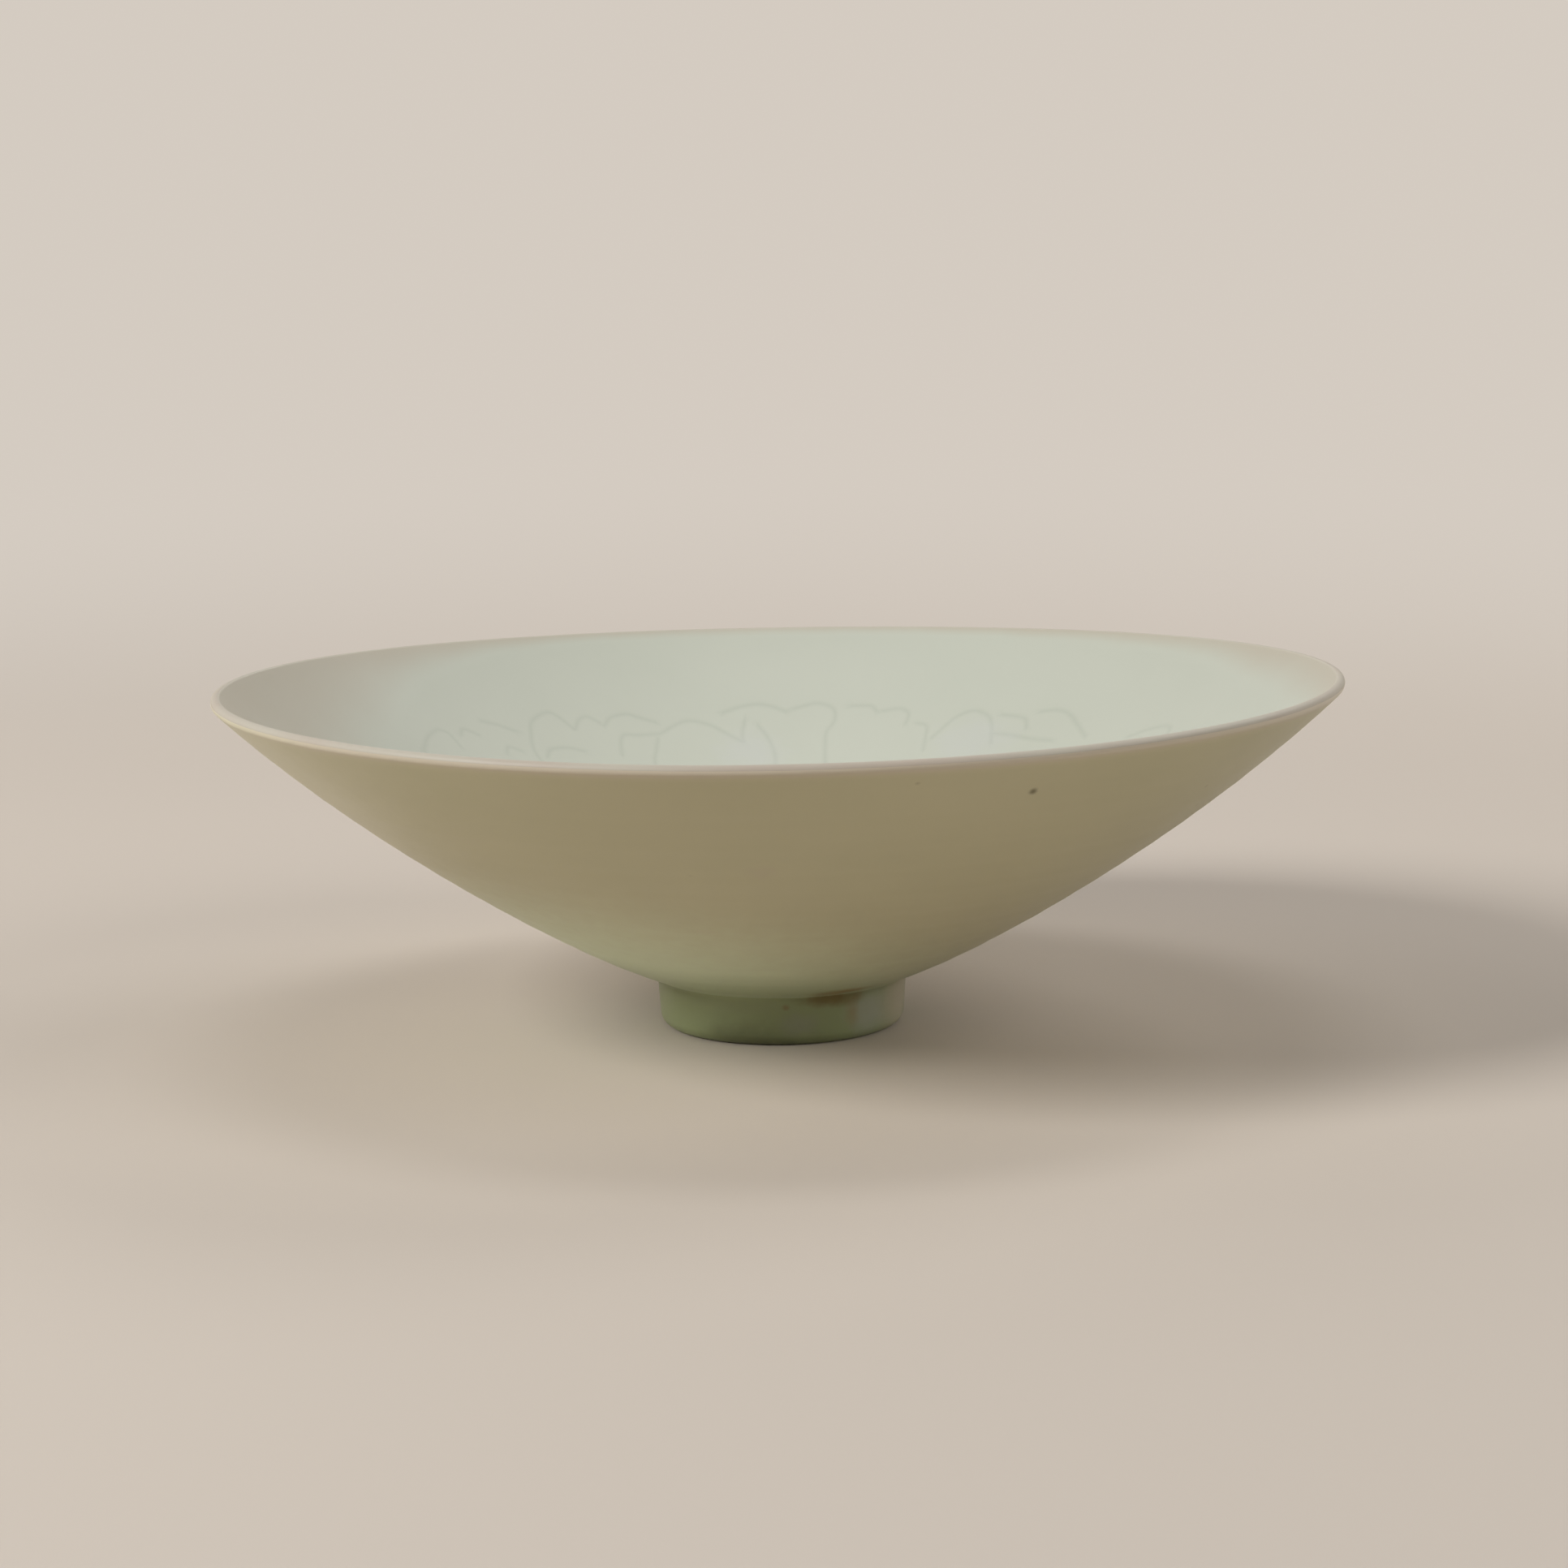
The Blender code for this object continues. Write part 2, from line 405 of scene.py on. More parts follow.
@dataclass(frozen=True)
class RimWarp:
    """Slight warp that the rim took in the kiln, in metres and in the wall's bearing from +X.

    Attributes:
        saddle: Rise of the two ends against the front and the back.
        twist: Rise of the two diagonals.
        tilt_right: Rise towards +X.
        tilt_back: Rise towards +Y.
        samples: Bearings at which the highest place of the rim is looked for.
    """

    saddle: float = 0.74 * MM
    twist: float = -0.07 * MM
    tilt_right: float = 0.30 * MM
    tilt_back: float = 0.46 * MM
    samples: int = 721

    def rise(self, bearing: np.ndarray) -> np.ndarray:
        """Rise of the rim at a bearing, against its mean height."""
        return (self.saddle * np.cos(2 * bearing) + self.twist * np.sin(2 * bearing)
                + self.tilt_right * np.cos(bearing) + self.tilt_back * np.sin(bearing))

    def apply(self, points: np.ndarray, form: BowlForm) -> np.ndarray:
        """Lowers points from the full height to the warped rim, fading out down to the foot.

        Args:
            points: Places in the row frame, one a row.
            form: The bowl.

        Returns:
            The warped places.
        """
        bearing = np.arctan2(points[:, 1], points[:, 0])
        highest = self.rise(np.radians(np.linspace(0.0, 360.0, self.samples))).max()
        fade = np.clip((points[:, 2] - form.foot_height) / (form.height - form.foot_height), 0.0, 1.0)
        warped = points.copy()
        warped[:, 2] += (self.rise(bearing) - highest) * fade
        return warped


@dataclass
class Mesh:
    """Points, faces and glaze depth of a piece in the making.

    Attributes:
        points: Places in the row frame, one a row.
        faces: Corner numbers of each face.
        depth: How deep the glaze lies at each point, 1 on a plain wall; it also carries painted reflection
            and shade.
    """

    points: np.ndarray
    faces: Faces
    depth: np.ndarray

    @classmethod
    def turned(cls, section: np.ndarray, segments: int, depth: np.ndarray) -> "Mesh":
        """Sweeps a half section round the axis.

        A section with neither end on the axis is a closed loop. Otherwise an end on the axis is capped there,
        and an end off it stays open.

        Args:
            section: Points of the section, with the outside on its left.
            segments: Facets round the axis.
            depth: Glaze depth at each point of the section.

        Returns:
            The mesh, whose points run in rings from the section's start.
        """
        starts, ends = section[0, 0] == 0.0, section[-1, 0] == 0.0
        rows = slice(int(starts), len(section) - int(ends))
        rings = section[rows]
        flat = rings[:, None, :1] * circle(segments)
        heights = np.broadcast_to(rings[:, None, 1:], (len(rings), segments, 1))
        points = np.concatenate((flat, heights), axis=2).reshape(-1, 3)
        mesh = cls(points, [], np.repeat(depth[rows], segments))
        for row in range(len(rings) - int(starts or ends)):
            mesh.faces += cls.strip(row * segments, (row + 1) % len(rings) * segments, segments)
        if starts:
            pole = mesh.add_pole(section[0, 1], depth[0])
            mesh.faces += [(pole, left, right) for _, left, right, _ in cls.strip(0, 0, segments)]
        if ends:
            pole = mesh.add_pole(section[-1, 1], depth[-1])
            last = (len(rings) - 1) * segments
            mesh.faces += [(left, pole, right) for left, _, _, right in cls.strip(last, last, segments)]
        return mesh

    @classmethod
    def shell(cls, face: np.ndarray, back: np.ndarray, segments: int, depth: np.ndarray) -> "Mesh":
        """Sweeps a face and the back under it to a closed shell.

        Args:
            face: Points of the face.
            back: Points of the back, which runs the same way.
            segments: Facets round the axis.
            depth: Glaze depth at each point of the face.

        Returns:
            The mesh, whose first points are the face's rings.
        """
        section = np.concatenate((face, back[::-1]))
        return cls.turned(section, segments, np.concatenate((depth, np.ones(len(back)))))

    @staticmethod
    def strip(upper: int, lower: int, segments: int) -> Faces:
        """Faces between two rings of points, by the numbers of their first points."""
        return [(upper + place, lower + place, lower + (place + 1) % segments, upper + (place + 1) % segments)
                for place in range(segments)]

    def add_pole(self, height: float, depth: float) -> int:
        """Adds a point on the axis.

        Args:
            height: Its height.
            depth: Glaze depth there.

        Returns:
            Its number.
        """
        self.points = np.append(self.points, ((0.0, 0.0, height),), axis=0)
        self.depth = np.append(self.depth, depth)
        return len(self.points) - 1

    def make(self, name: str) -> bpy.types.Object:
        """Makes the object, smooth but for its creases.

        Args:
            name: Name of the piece.

        Returns:
            The object, in the scene.
        """
        mesh = bpy.data.meshes.new(name)
        mesh.from_pydata(self.points.tolist(), [], self.faces)
        mesh.shade_smooth()
        mesh.set_sharp_from_angle(angle=CREASE)
        attribute = mesh.attributes.new(PAINTED_LIGHT_AND_DEPTH_ATTRIBUTE, "FLOAT", "POINT")
        attribute.data.foreach_set("value", self.depth.astype(np.float32))
        return put(name, mesh)


@dataclass(frozen=True)
class Leaf:
    """A pointed leaf of the scroll with its midrib.

    Attributes:
        bearing: Bearing of its stalk in degrees.
        radius: Radius of its stalk in millimetres.
        length: Length in millimetres.
        turn: Direction it grows in, in degrees from straight up the wall, to the right.
        half_width: Half its width as a share of its length.
        sway: How far it bows to one side, as a share of its length.
        midrib: Length of its midrib as a share of its own.
        widest: Below 1 the leaf is widest below its middle.
    """

    bearing: float
    radius: float
    length: float
    turn: float
    half_width: float = 0.23
    sway: float = 0.08
    midrib: float = 0.8
    widest: float = 0.8


@dataclass(frozen=True)
class PetalRing:
    """A ring of scalloped petals in a blossom, in shares of the blossom's size and in degrees.

    Attributes:
        valley: Reach between two petals.
        crown: Reach at the middle of a petal.
        lobes: Number of petals.
        start: Angle at which the ring starts, from the right.
        end: Angle at which it ends.
    """

    valley: float
    crown: float
    lobes: int
    start: float
    end: float


@dataclass(frozen=True)
class Blossom:
    """A layered flower of the scroll.

    Attributes:
        bearing: Bearing of its heart in degrees.
        radius: Radius of its heart in millimetres.
        size: Reach of its outer petals in millimetres.
        rings: Its rings of petals, from the heart outwards.
        fullness: How full the petals are.
    """

    bearing: float
    radius: float
    size: float
    rings: tuple[PetalRing, ...] = (
        PetalRing(0.18, 0.30, 3, 0.0, 360.0),
        PetalRing(0.42, 0.62, 5, 20.0, 380.0),
        PetalRing(0.76, 1.0, 6, 175.0, 365.0),
    )
    fullness: float = 0.6


@dataclass(frozen=True)
class CarvedScroll:
    """Flower scroll that was carved into the inner wall before glazing.

    The scroll is one spray that repeats round the bowl. Places on the wall are a bearing in degrees, 90 at
    the back, and a radius in millimetres. Lengths are in millimetres.

    Attributes:
        petals: Petals along the top of a spray, each a line through a few places.
        blossoms: Flowers that those petals belong to.
        leaves: Leaves between and under the flowers.
        sprays: How often the spray repeats.
        stem_start: Bearing at which a spray's stem starts.
        stem_radius: Mean radius of the stem.
        stem_swing: How far the stem winds up and down.
        well_rings: Radii of the rings round the well.
        rosette_petals: Petals of the rosette in the well.
        rosette_valley: Radius between two of them.
        rosette_crown: Radius at the middle of one.
        rosette_fullness: How full they are.
        rosette_heart: Radius of the rosette's heart.
        foreshortening: Length in plan of one millimetre up the wall.
        half_width: Half the width of a carved line.
        cut_depth: Depth of a carved line.
        ring_points: Places along a full ring.
        petal_points: Places along a petal of a flower.
        leaf_points: Places along an edge of a leaf.
        stem_points: Places along the stem.
        rosette_points: Places along a petal of the rosette.
        span_points: Points first drawn between two places of a line.
        step: Spacing of points along the finished line.
        fewest_points: Fewest points of a finished line.
        rows: Rows of points across a carved line, as shares of its half width.
        samples: Points to a step when distances are measured.
    """

    petals: tuple[tuple[tuple[float, float], ...], ...] = (
        ((150.5, 70.5), (147.5, 72.5), (144.5, 73.5), (143.0, 72.5), (143.0, 70.0)),
        ((141.0, 72.0), (140.0, 73.0), (139.0, 72.5), (138.0, 71.5)),
        ((135.5, 74.0), (133.5, 73.0), (131.5, 71.5)),
        ((135.5, 67.5), (134.5, 68.5), (133.0, 67.5)),
        ((130.5, 62.0), (130.5, 67.0), (129.0, 70.5), (127.5, 73.0), (124.5, 74.5), (123.0, 73.5),
         (121.5, 70.5)),
        ((129.0, 65.5), (127.5, 67.0), (124.5, 67.0), (122.0, 66.0)),
        ((121.5, 70.5), (120.0, 72.5), (118.5, 73.0), (117.0, 71.5)),
        ((116.5, 71.0), (115.0, 72.5), (112.5, 73.0), (110.5, 72.0), (108.5, 71.0)),
        ((116.0, 64.5), (114.5, 68.5), (112.0, 68.5), (108.5, 68.5)),
        ((109.0, 67.5), (110.0, 65.0), (111.0, 62.5), (111.0, 59.0)),
        ((107.5, 69.0), (106.0, 70.0), (103.5, 71.0), (100.5, 70.0), (98.0, 68.0), (95.5, 66.0)),
        ((98.0, 72.5), (95.5, 73.5), (93.0, 74.0), (91.0, 73.5), (89.0, 72.5)),
        ((95.0, 70.5), (95.5, 68.0), (95.5, 66.0)),
        ((93.0, 69.5), (91.5, 66.5), (90.5, 62.5), (91.0, 58.5)),
        ((87.5, 73.0), (84.5, 74.0), (82.0, 73.0), (81.5, 70.5), (82.5, 68.0), (82.5, 65.5), (82.0, 60.5)),
        ((79.0, 73.5), (76.5, 73.5), (75.5, 72.5)),
        ((74.5, 72.5), (72.0, 73.0), (70.5, 72.0), (70.5, 70.0)),
        ((68.5, 70.0), (67.0, 69.5), (66.5, 67.0), (66.0, 64.5)),
        ((65.5, 67.0), (63.0, 71.5), (60.5, 73.0), (58.0, 72.0), (56.5, 70.0), (55.0, 66.5)),
        ((56.0, 72.5), (52.0, 72.0), (50.5, 70.0)),
        ((56.0, 68.5), (53.0, 68.5), (48.5, 68.0), (45.0, 68.0)),
        ((50.0, 73.5), (47.5, 74.0), (45.0, 73.5), (42.0, 71.5), (39.0, 69.5)),
    )
    blossoms: tuple[Blossom, ...] = (Blossom(103.0, 51.0, 14.0), Blossom(60.0, 51.0, 14.0))
    leaves: tuple[Leaf, ...] = (
        Leaf(82.0, 38.0, 21.0, 4.0), Leaf(126.0, 41.0, 20.0, -18.0), Leaf(140.0, 47.0, 18.0, 22.0),
        Leaf(40.0, 45.0, 18.0, -20.0), Leaf(94.0, 29.0, 13.0, 60.0), Leaf(56.0, 29.0, 13.0, -60.0),
    )
    sprays: int = 3
    stem_start: float = 36.0
    stem_radius: float = 33.0
    stem_swing: float = 5.0
    well_rings: tuple[float, ...] = (20.4, 21.6)
    rosette_petals: int = 6
    rosette_valley: float = 6.0
    rosette_crown: float = 13.5
    rosette_fullness: float = 0.7
    rosette_heart: float = 3.2
    foreshortening: float = 0.82
    half_width: float = 0.8
    cut_depth: float = 0.05
    ring_points: int = 61
    petal_points: int = 7
    leaf_points: int = 9
    stem_points: int = 19
    rosette_points: int = 9
    span_points: int = 12
    step: float = 0.7
    fewest_points: int = 3
    rows: tuple[float, ...] = (-1.0, -0.5, 0.0, 0.5, 1.0)
    samples: int = 8

    @staticmethod
    def plan(places: np.ndarray) -> np.ndarray:
        """Turns bearings and radii into plan coordinates."""
        return places[:, 1:] * heading(np.radians(places[:, 0]))

    def ring(self, radius: float) -> np.ndarray:
        """Places of a full circle round the axis."""
        turn = np.linspace(0.0, 360.0, self.ring_points)
        return np.column_stack((turn, np.full_like(turn, radius)))

    def smoothed(self, points: np.ndarray) -> np.ndarray:
        """Draws a smooth line through points in plan.

        Args:
            points: Points that the line passes through.

        Returns:
            Points along the line, at equal steps.
        """
        padded = np.concatenate((2 * points[:1] - points[1:2], points, 2 * points[-1:] - points[-2:-1]))
        share = np.linspace(0.0, 1.0, self.span_points, endpoint=False)[:, None]
        spans = []
        for first in range(len(points) - 1):
            before, start, end, after = padded[first:first + 4]
            spans.append(0.5 * (2 * start + (end - before) * share
                                + (2 * before - 5 * start + 4 * end - after) * share ** 2
                                + (3 * start - before - 3 * end + after) * share ** 3))
        line = np.concatenate((*spans, points[-1:]))
        length = run_length(line)
        stops = np.linspace(0.0, length[-1], max(self.fewest_points, round(length[-1] / self.step) + 1))
        return np.column_stack([np.interp(stops, length, part) for part in line.T])

    def on_wall(self, origin: Leaf | Blossom, across: np.ndarray, up: np.ndarray) -> np.ndarray:
        """Lays a flat drawing on the wall.

        Args:
            origin: The leaf or blossom, whose bearing and radius give the drawing's origin.
            across: Distances to the right.
            up: Distances up the wall.

        Returns:
            Bearings and radii, one place a row.
        """
        bearings = origin.bearing - np.degrees(across / origin.radius)
        return np.column_stack((bearings, origin.radius + up * self.foreshortening))

    def blossom_lines(self, blossom: Blossom) -> list[np.ndarray]:
        """Rings of scalloped petals round a small heart.

        Args:
            blossom: The flower.

        Returns:
            Lines as bearings and radii, one place a row.
        """
        lines = []
        share = np.linspace(0.0, 1.0, self.petal_points)
        for ring in blossom.rings:
            edges = np.radians(np.linspace(ring.start, ring.end, ring.lobes + 1))
            reach = blossom.size * lobe(share, ring.valley, ring.crown, blossom.fullness)
            for left, right in zip(edges[:-1], edges[1:]):
                across, up = reach * heading(left + (right - left) * share).T
                lines.append(self.on_wall(blossom, across, up))
        return lines

    def leaf_lines(self, leaf: Leaf) -> list[np.ndarray]:
        """Both edges of a leaf and its midrib.

        Args:
            leaf: The leaf.

        Returns:
            Lines as bearings and radii, one place a row.
        """
        share = np.linspace(0.0, 1.0, self.leaf_points)
        ahead, aside = heading(math.radians(leaf.turn))
        sway = leaf.sway * leaf.length * np.sin(share * math.pi)
        lines = []
        for side in (-1.0, 0.0, 1.0):
            along = leaf.length * (share if side else share * leaf.midrib)
            width = side * leaf.half_width * leaf.length * np.sin(share ** leaf.widest * math.pi) + sway
            lines.append(self.on_wall(leaf, width * ahead + along * aside, along * ahead - width * aside))
        return lines

    def stem_line(self) -> np.ndarray:
        """Winding stem of one spray, low on the wall.

        Returns:
            Bearings and radii, one place a row.
        """
        share = np.linspace(0.0, 1.0, self.stem_points)
        winding = self.stem_radius + self.stem_swing * np.sin(share * 2 * math.tau)
        return np.column_stack((self.stem_start + 360.0 / self.sprays * share, winding))

    def well_lines(self) -> list[np.ndarray]:
        """Rings round the well and a rosette in its middle.

        Returns:
            Lines as bearings and radii, one place a row.
        """
        lines = [self.ring(radius) for radius in self.well_rings]
        share = np.linspace(0.0, 1.0, self.rosette_points)
        reach = lobe(share, self.rosette_valley, self.rosette_crown, self.rosette_fullness)
        for petal in range(self.rosette_petals):
            lines.append(np.column_stack(((petal + share) * (360.0 / self.rosette_petals), reach)))
        return [*lines, self.ring(self.rosette_heart)]

    def lines(self) -> list[np.ndarray]:
        """Draws all carved lines.

        Returns:
            Lines in plan, as points at equal steps.
        """
        spray = [np.array(petal) for petal in self.petals] + [self.stem_line()]
        for blossom in self.blossoms:
            spray += self.blossom_lines(blossom)
        for leaf in self.leaves:
            spray += self.leaf_lines(leaf)
        placed = self.well_lines()
        for copy in range(self.sprays):
            placed += [line + np.array((copy * 360.0 / self.sprays, 0.0)) for line in spray]
        return [self.smoothed(self.plan(line)) for line in placed]

    def guide(self, lines: list[np.ndarray]) -> tuple[np.ndarray, list[tuple[int, int]]]:
        """Rows of points along and beside the carved lines, for the mesh to follow.

        Args:
            lines: Carved lines in plan.

        Returns:
            Points in plan, and edges between them.
        """
        points, edges, count = [], [], 0
        for line in lines:
            for share in self.rows:
                points.append(set_back(line, -share * self.half_width))
                edges += [(count + i, count + i + 1) for i in range(len(line) - 1)]
                count += len(line)
        return np.concatenate(points), edges

    def distances(self, lines: list[np.ndarray], points: np.ndarray) -> np.ndarray:
        """Distance from points to the nearest carved line, in plan.

        Args:
            lines: Carved lines in plan.
            points: Points in plan.

        Returns:
            One distance a point.
        """
        fine = []
        for line in lines:
            share = np.arange(0.0, len(line) - 1, 1.0 / self.samples)
            low = share.astype(int)
            part = (share - low)[:, None]
            fine += [line[low] * (1 - part) + line[low + 1] * part, line[-1:]]
        samples = np.concatenate(fine)
        tree = KDTree(len(samples))
        for number, (x, y) in enumerate(samples):
            tree.insert((x, y, 0.0), number)
        tree.balance()
        return np.array([tree.find((x, y, 0.0))[2] for x, y in points])


class NodeBench:
    """Adds and links nodes in one shader tree."""

    def __init__(self, tree: bpy.types.NodeTree) -> None:
        """Works on a tree."""
        self.tree = tree

    @classmethod
    def for_material(cls, name: str) -> tuple[bpy.types.Material, "NodeBench", bpy.types.Node]:
        """Makes a material with nodes.

        Args:
            name: Its name.

        Returns:
            The material, its bench and its shader.
        """
        material = bpy.data.materials.new(name)
        material.use_nodes = True
        return material, cls(material.node_tree), material.node_tree.nodes["Principled BSDF"]

    def wire(self, socket: bpy.types.NodeSocket, value: object) -> None:
        """Links a socket to another, or sets its value.

        Args:
            socket: The input.
            value: The socket to link it to, or its value.
        """
        if isinstance(value, bpy.types.NodeSocket):
            self.tree.links.new(value, socket)
        elif socket.type == "RGBA":
            socket.default_value = (*value, 1.0)
        else:
            socket.default_value = value

    def add(self, kind: str, wires: Wires | None = None, **settings: object) -> bpy.types.Node:
        """Adds a node.

        Args:
            kind: Blender's name for the kind of node.
            wires: Values or sockets for its inputs, by name or number.
            settings: Properties of the node.

        Returns:
            The node.
        """
        node = self.tree.nodes.new(kind)
        for key, value in settings.items():
            setattr(node, key, value)
        for key, value in (wires or {}).items():
            self.wire(node.inputs[key], value)
        return node

    def place(self) -> bpy.types.NodeSocket:
        """Place on the piece, in metres."""
        return self.add("ShaderNodeTexCoord").outputs["Object"]

    def maths(self, operation: str, first: object, second: object) -> bpy.types.NodeSocket:
        """Sum, product or other operation on two values."""
        return self.add("ShaderNodeMath", {0: first, 1: second}, operation=operation).outputs[0]

    def vector(self, operation: str, first: object, second: object) -> bpy.types.NodeSocket:
        """Operation on two vectors that gives a vector."""
        return self.add("ShaderNodeVectorMath", {0: first, 1: second}, operation=operation).outputs[0]

    def length(self, vector: object) -> bpy.types.NodeSocket:
        """Length of a vector."""
        return self.add("ShaderNodeVectorMath", {0: vector}, operation="LENGTH").outputs["Value"]

    def blend(self, share: object, first: object, second: object) -> bpy.types.NodeSocket:
        """Mix of two colours."""
        return self.add("ShaderNodeMix", {0: share, 6: first, 7: second}, data_type="RGBA").outputs[2]

    def ramp(self, value: object, low: object, high: object) -> bpy.types.NodeSocket:
        """Rises smoothly from 0 at low to 1 at high."""
        wires = {"Value": value, "From Min": low, "From Max": high}
        return self.add("ShaderNodeMapRange", wires, interpolation_type="SMOOTHSTEP").outputs[0]

    def fall(self, value: object, low: object, high: object) -> bpy.types.NodeSocket:
        """Falls smoothly from 1 at low to 0 at high."""
        return self.maths("SUBTRACT", 1.0, self.ramp(value, low, high))

    def noise(self, place: object, scale: object, detail: float = 2.0) -> bpy.types.NodeSocket:
        """Soft noise between 0 and 1."""
        wires = {"Vector": place, "Scale": scale, "Detail": detail}
        return self.add("ShaderNodeTexNoise", wires).outputs[0]

    def wander(self, value: object, noise: object, amount: object) -> bpy.types.NodeSocket:
        """A value that noise shifts up and down by half an amount at most."""
        shift = self.maths("MULTIPLY", self.maths("SUBTRACT", noise, 0.5), amount)
        return self.maths("ADD", value, shift)

    def effect(self, effect: "Effect", **wires: object) -> bpy.types.bpy_prop_collection:
        """Places a shared effect with its own values, and gives its outputs.

        Args:
            effect: The effect.
            wires: Values or sockets for its inputs; an underscore in a name stands for a space.

        Returns:
            The output sockets.
        """
        node = self.add("ShaderNodeGroup", node_tree=effect.tree())
        for key, value in wires.items():
            self.wire(node.inputs[key.replace("_", " ")], value)
        return node.outputs


class Effect:
    """A shader node group that several finishes share; it is built once.

    Attributes:
        name: Name of the group.
        inputs: Names of its inputs, with the kind of each.
        outputs: Names of its outputs, with the kind of each.
    """

    name: str
    inputs: dict[str, str]
    outputs: dict[str, str]

    def tree(self) -> bpy.types.NodeTree:
        """Gives the group, and builds it the first time.

        Returns:
            The group.
        """
        made = bpy.data.node_groups.get(self.name)
        if made:
            return made
        made = bpy.data.node_groups.new(self.name, "ShaderNodeTree")
        for side, sockets in (("INPUT", self.inputs), ("OUTPUT", self.outputs)):
            for name, kind in sockets.items():
                made.interface.new_socket(name, in_out=side, socket_type="NodeSocket" + kind)
        bench = NodeBench(made)
        entry = bench.add("NodeGroupInput").outputs
        bench.add("NodeGroupOutput", self.wire_up(bench, entry))
        return made

    def wire_up(self, bench: NodeBench, entry: bpy.types.bpy_prop_collection) -> Wires:
        """Adds the nodes of the group.

        Args:
            bench: The bench of the group's tree.
            entry: The sockets that carry the group's inputs.

        Returns:
            What each output shows.
        """
        raise NotImplementedError


class GlazeTone(Effect):
    """Colour of a glaze by its depth: clay shows through thin glaze, and deep glaze is darker and greener.

    Attributes:
        covers: Depths between which the glaze comes to hide the clay.
        deepens: Depths between which it turns to its deep colour.
        cloud_detail: Fineness of the clouds.
    """

    name = "Glaze tone"
    inputs = {"Depth": "Float", "Thin": "Color", "Body": "Color", "Deep": "Color", "Cloud": "Float",
              "Cloud Scale": "Float"}
    outputs = {"Colour": "Color"}
    covers = (0.05, 0.95)
    deepens = (0.8, 2.2)
    cloud_detail = 4.0

    def wire_up(self, bench: NodeBench, entry: bpy.types.bpy_prop_collection) -> Wires:
        """Shifts the depth by soft clouds and mixes the three colours by it.

        Args:
            bench: The bench of the group's tree.
            entry: The sockets that carry the group's inputs.

        Returns:
            What each output shows.
        """
        clouds = bench.noise(bench.place(), entry["Cloud Scale"], self.cloud_detail)
        depth = bench.wander(entry["Depth"], clouds, entry["Cloud"])
        covered = bench.blend(bench.ramp(depth, *self.covers), entry["Thin"], entry["Body"])
        return {"Colour": bench.blend(bench.ramp(depth, *self.deepens), covered, entry["Deep"])}


class GlazeSkin(Effect):
    """Surface of a fired glaze or clay: faint ripples, pinholes and patches of softer gloss.

    Attributes:
        patch_scale: Patches of softer gloss to a metre.
        patch_detail: Fineness of their edges.
        cell_scale: Cells to a metre that may hold a pinhole.
        choice_scale: Scale of the noise that chooses among the cells.
        rarity: Value of that noise above which a cell holds one.
        hole: Reach of a pinhole's floor and of its edge, in cells.
        hole_depth: Depth of a pinhole as a share of the ripples' height.
    """

    name = "Glaze skin"
    inputs = {"Roughness": "Float", "Spread": "Float", "Ripple Scale": "Float"}
    outputs = {"Roughness": "Float", "Height": "Float"}
    patch_scale = 60.0
    patch_detail = 3.0
    cell_scale = 420.0
    choice_scale = 900.0
    rarity = 0.66
    hole = (0.02, 0.10)
    hole_depth = 0.5

    def wire_up(self, bench: NodeBench, entry: bpy.types.bpy_prop_collection) -> Wires:
        """Adds noise to the roughness, and sums ripples and pinholes into a height.

        Args:
            bench: The bench of the group's tree.
            entry: The sockets that carry the group's inputs.

        Returns:
            What each output shows.
        """
        place = bench.place()
        patches = bench.noise(place, self.patch_scale, self.patch_detail)
        cells = bench.add("ShaderNodeTexVoronoi", {"Vector": place, "Scale": self.cell_scale}).outputs
        chosen = bench.maths("GREATER_THAN", bench.noise(cells["Position"], self.choice_scale), self.rarity)
        pinholes = bench.maths("MULTIPLY", bench.fall(cells["Distance"], *self.hole), chosen)
        sunk = bench.maths("MULTIPLY", pinholes, self.hole_depth)
        return {
            "Roughness": bench.wander(entry["Roughness"], patches, entry["Spread"]),
            "Height": bench.maths("SUBTRACT", bench.noise(place, entry["Ripple Scale"]), sunk),
        }


class Spot(Effect):
    """Mask of one mark on the glaze, with an uneven edge.

    Attributes:
        edge_scale: Scale of the unevenness.
        edge_detail: Fineness of it.
    """

    name = "Spot"
    inputs = {"Place": "Vector", "Reach": "Vector", "Blur": "Float", "Uneven": "Float"}
    outputs = {"Mask": "Float"}
    edge_scale = 380.0
    edge_detail = 4.0

    def wire_up(self, bench: NodeBench, entry: bpy.types.bpy_prop_collection) -> Wires:
        """Measures the distance from the mark's middle in units of its reach.

        Args:
            bench: The bench of the group's tree.
            entry: The sockets that carry the group's inputs.

        Returns:
            What each output shows.
        """
        place = bench.place()
        offset = bench.vector("DIVIDE", bench.vector("SUBTRACT", place, entry["Place"]), entry["Reach"])
        noise = bench.noise(place, self.edge_scale, self.edge_detail)
        distance = bench.wander(bench.length(offset), noise, entry["Uneven"])
        return {"Mask": bench.fall(distance, bench.maths("SUBTRACT", 1.0, entry["Blur"]), 1.0)}


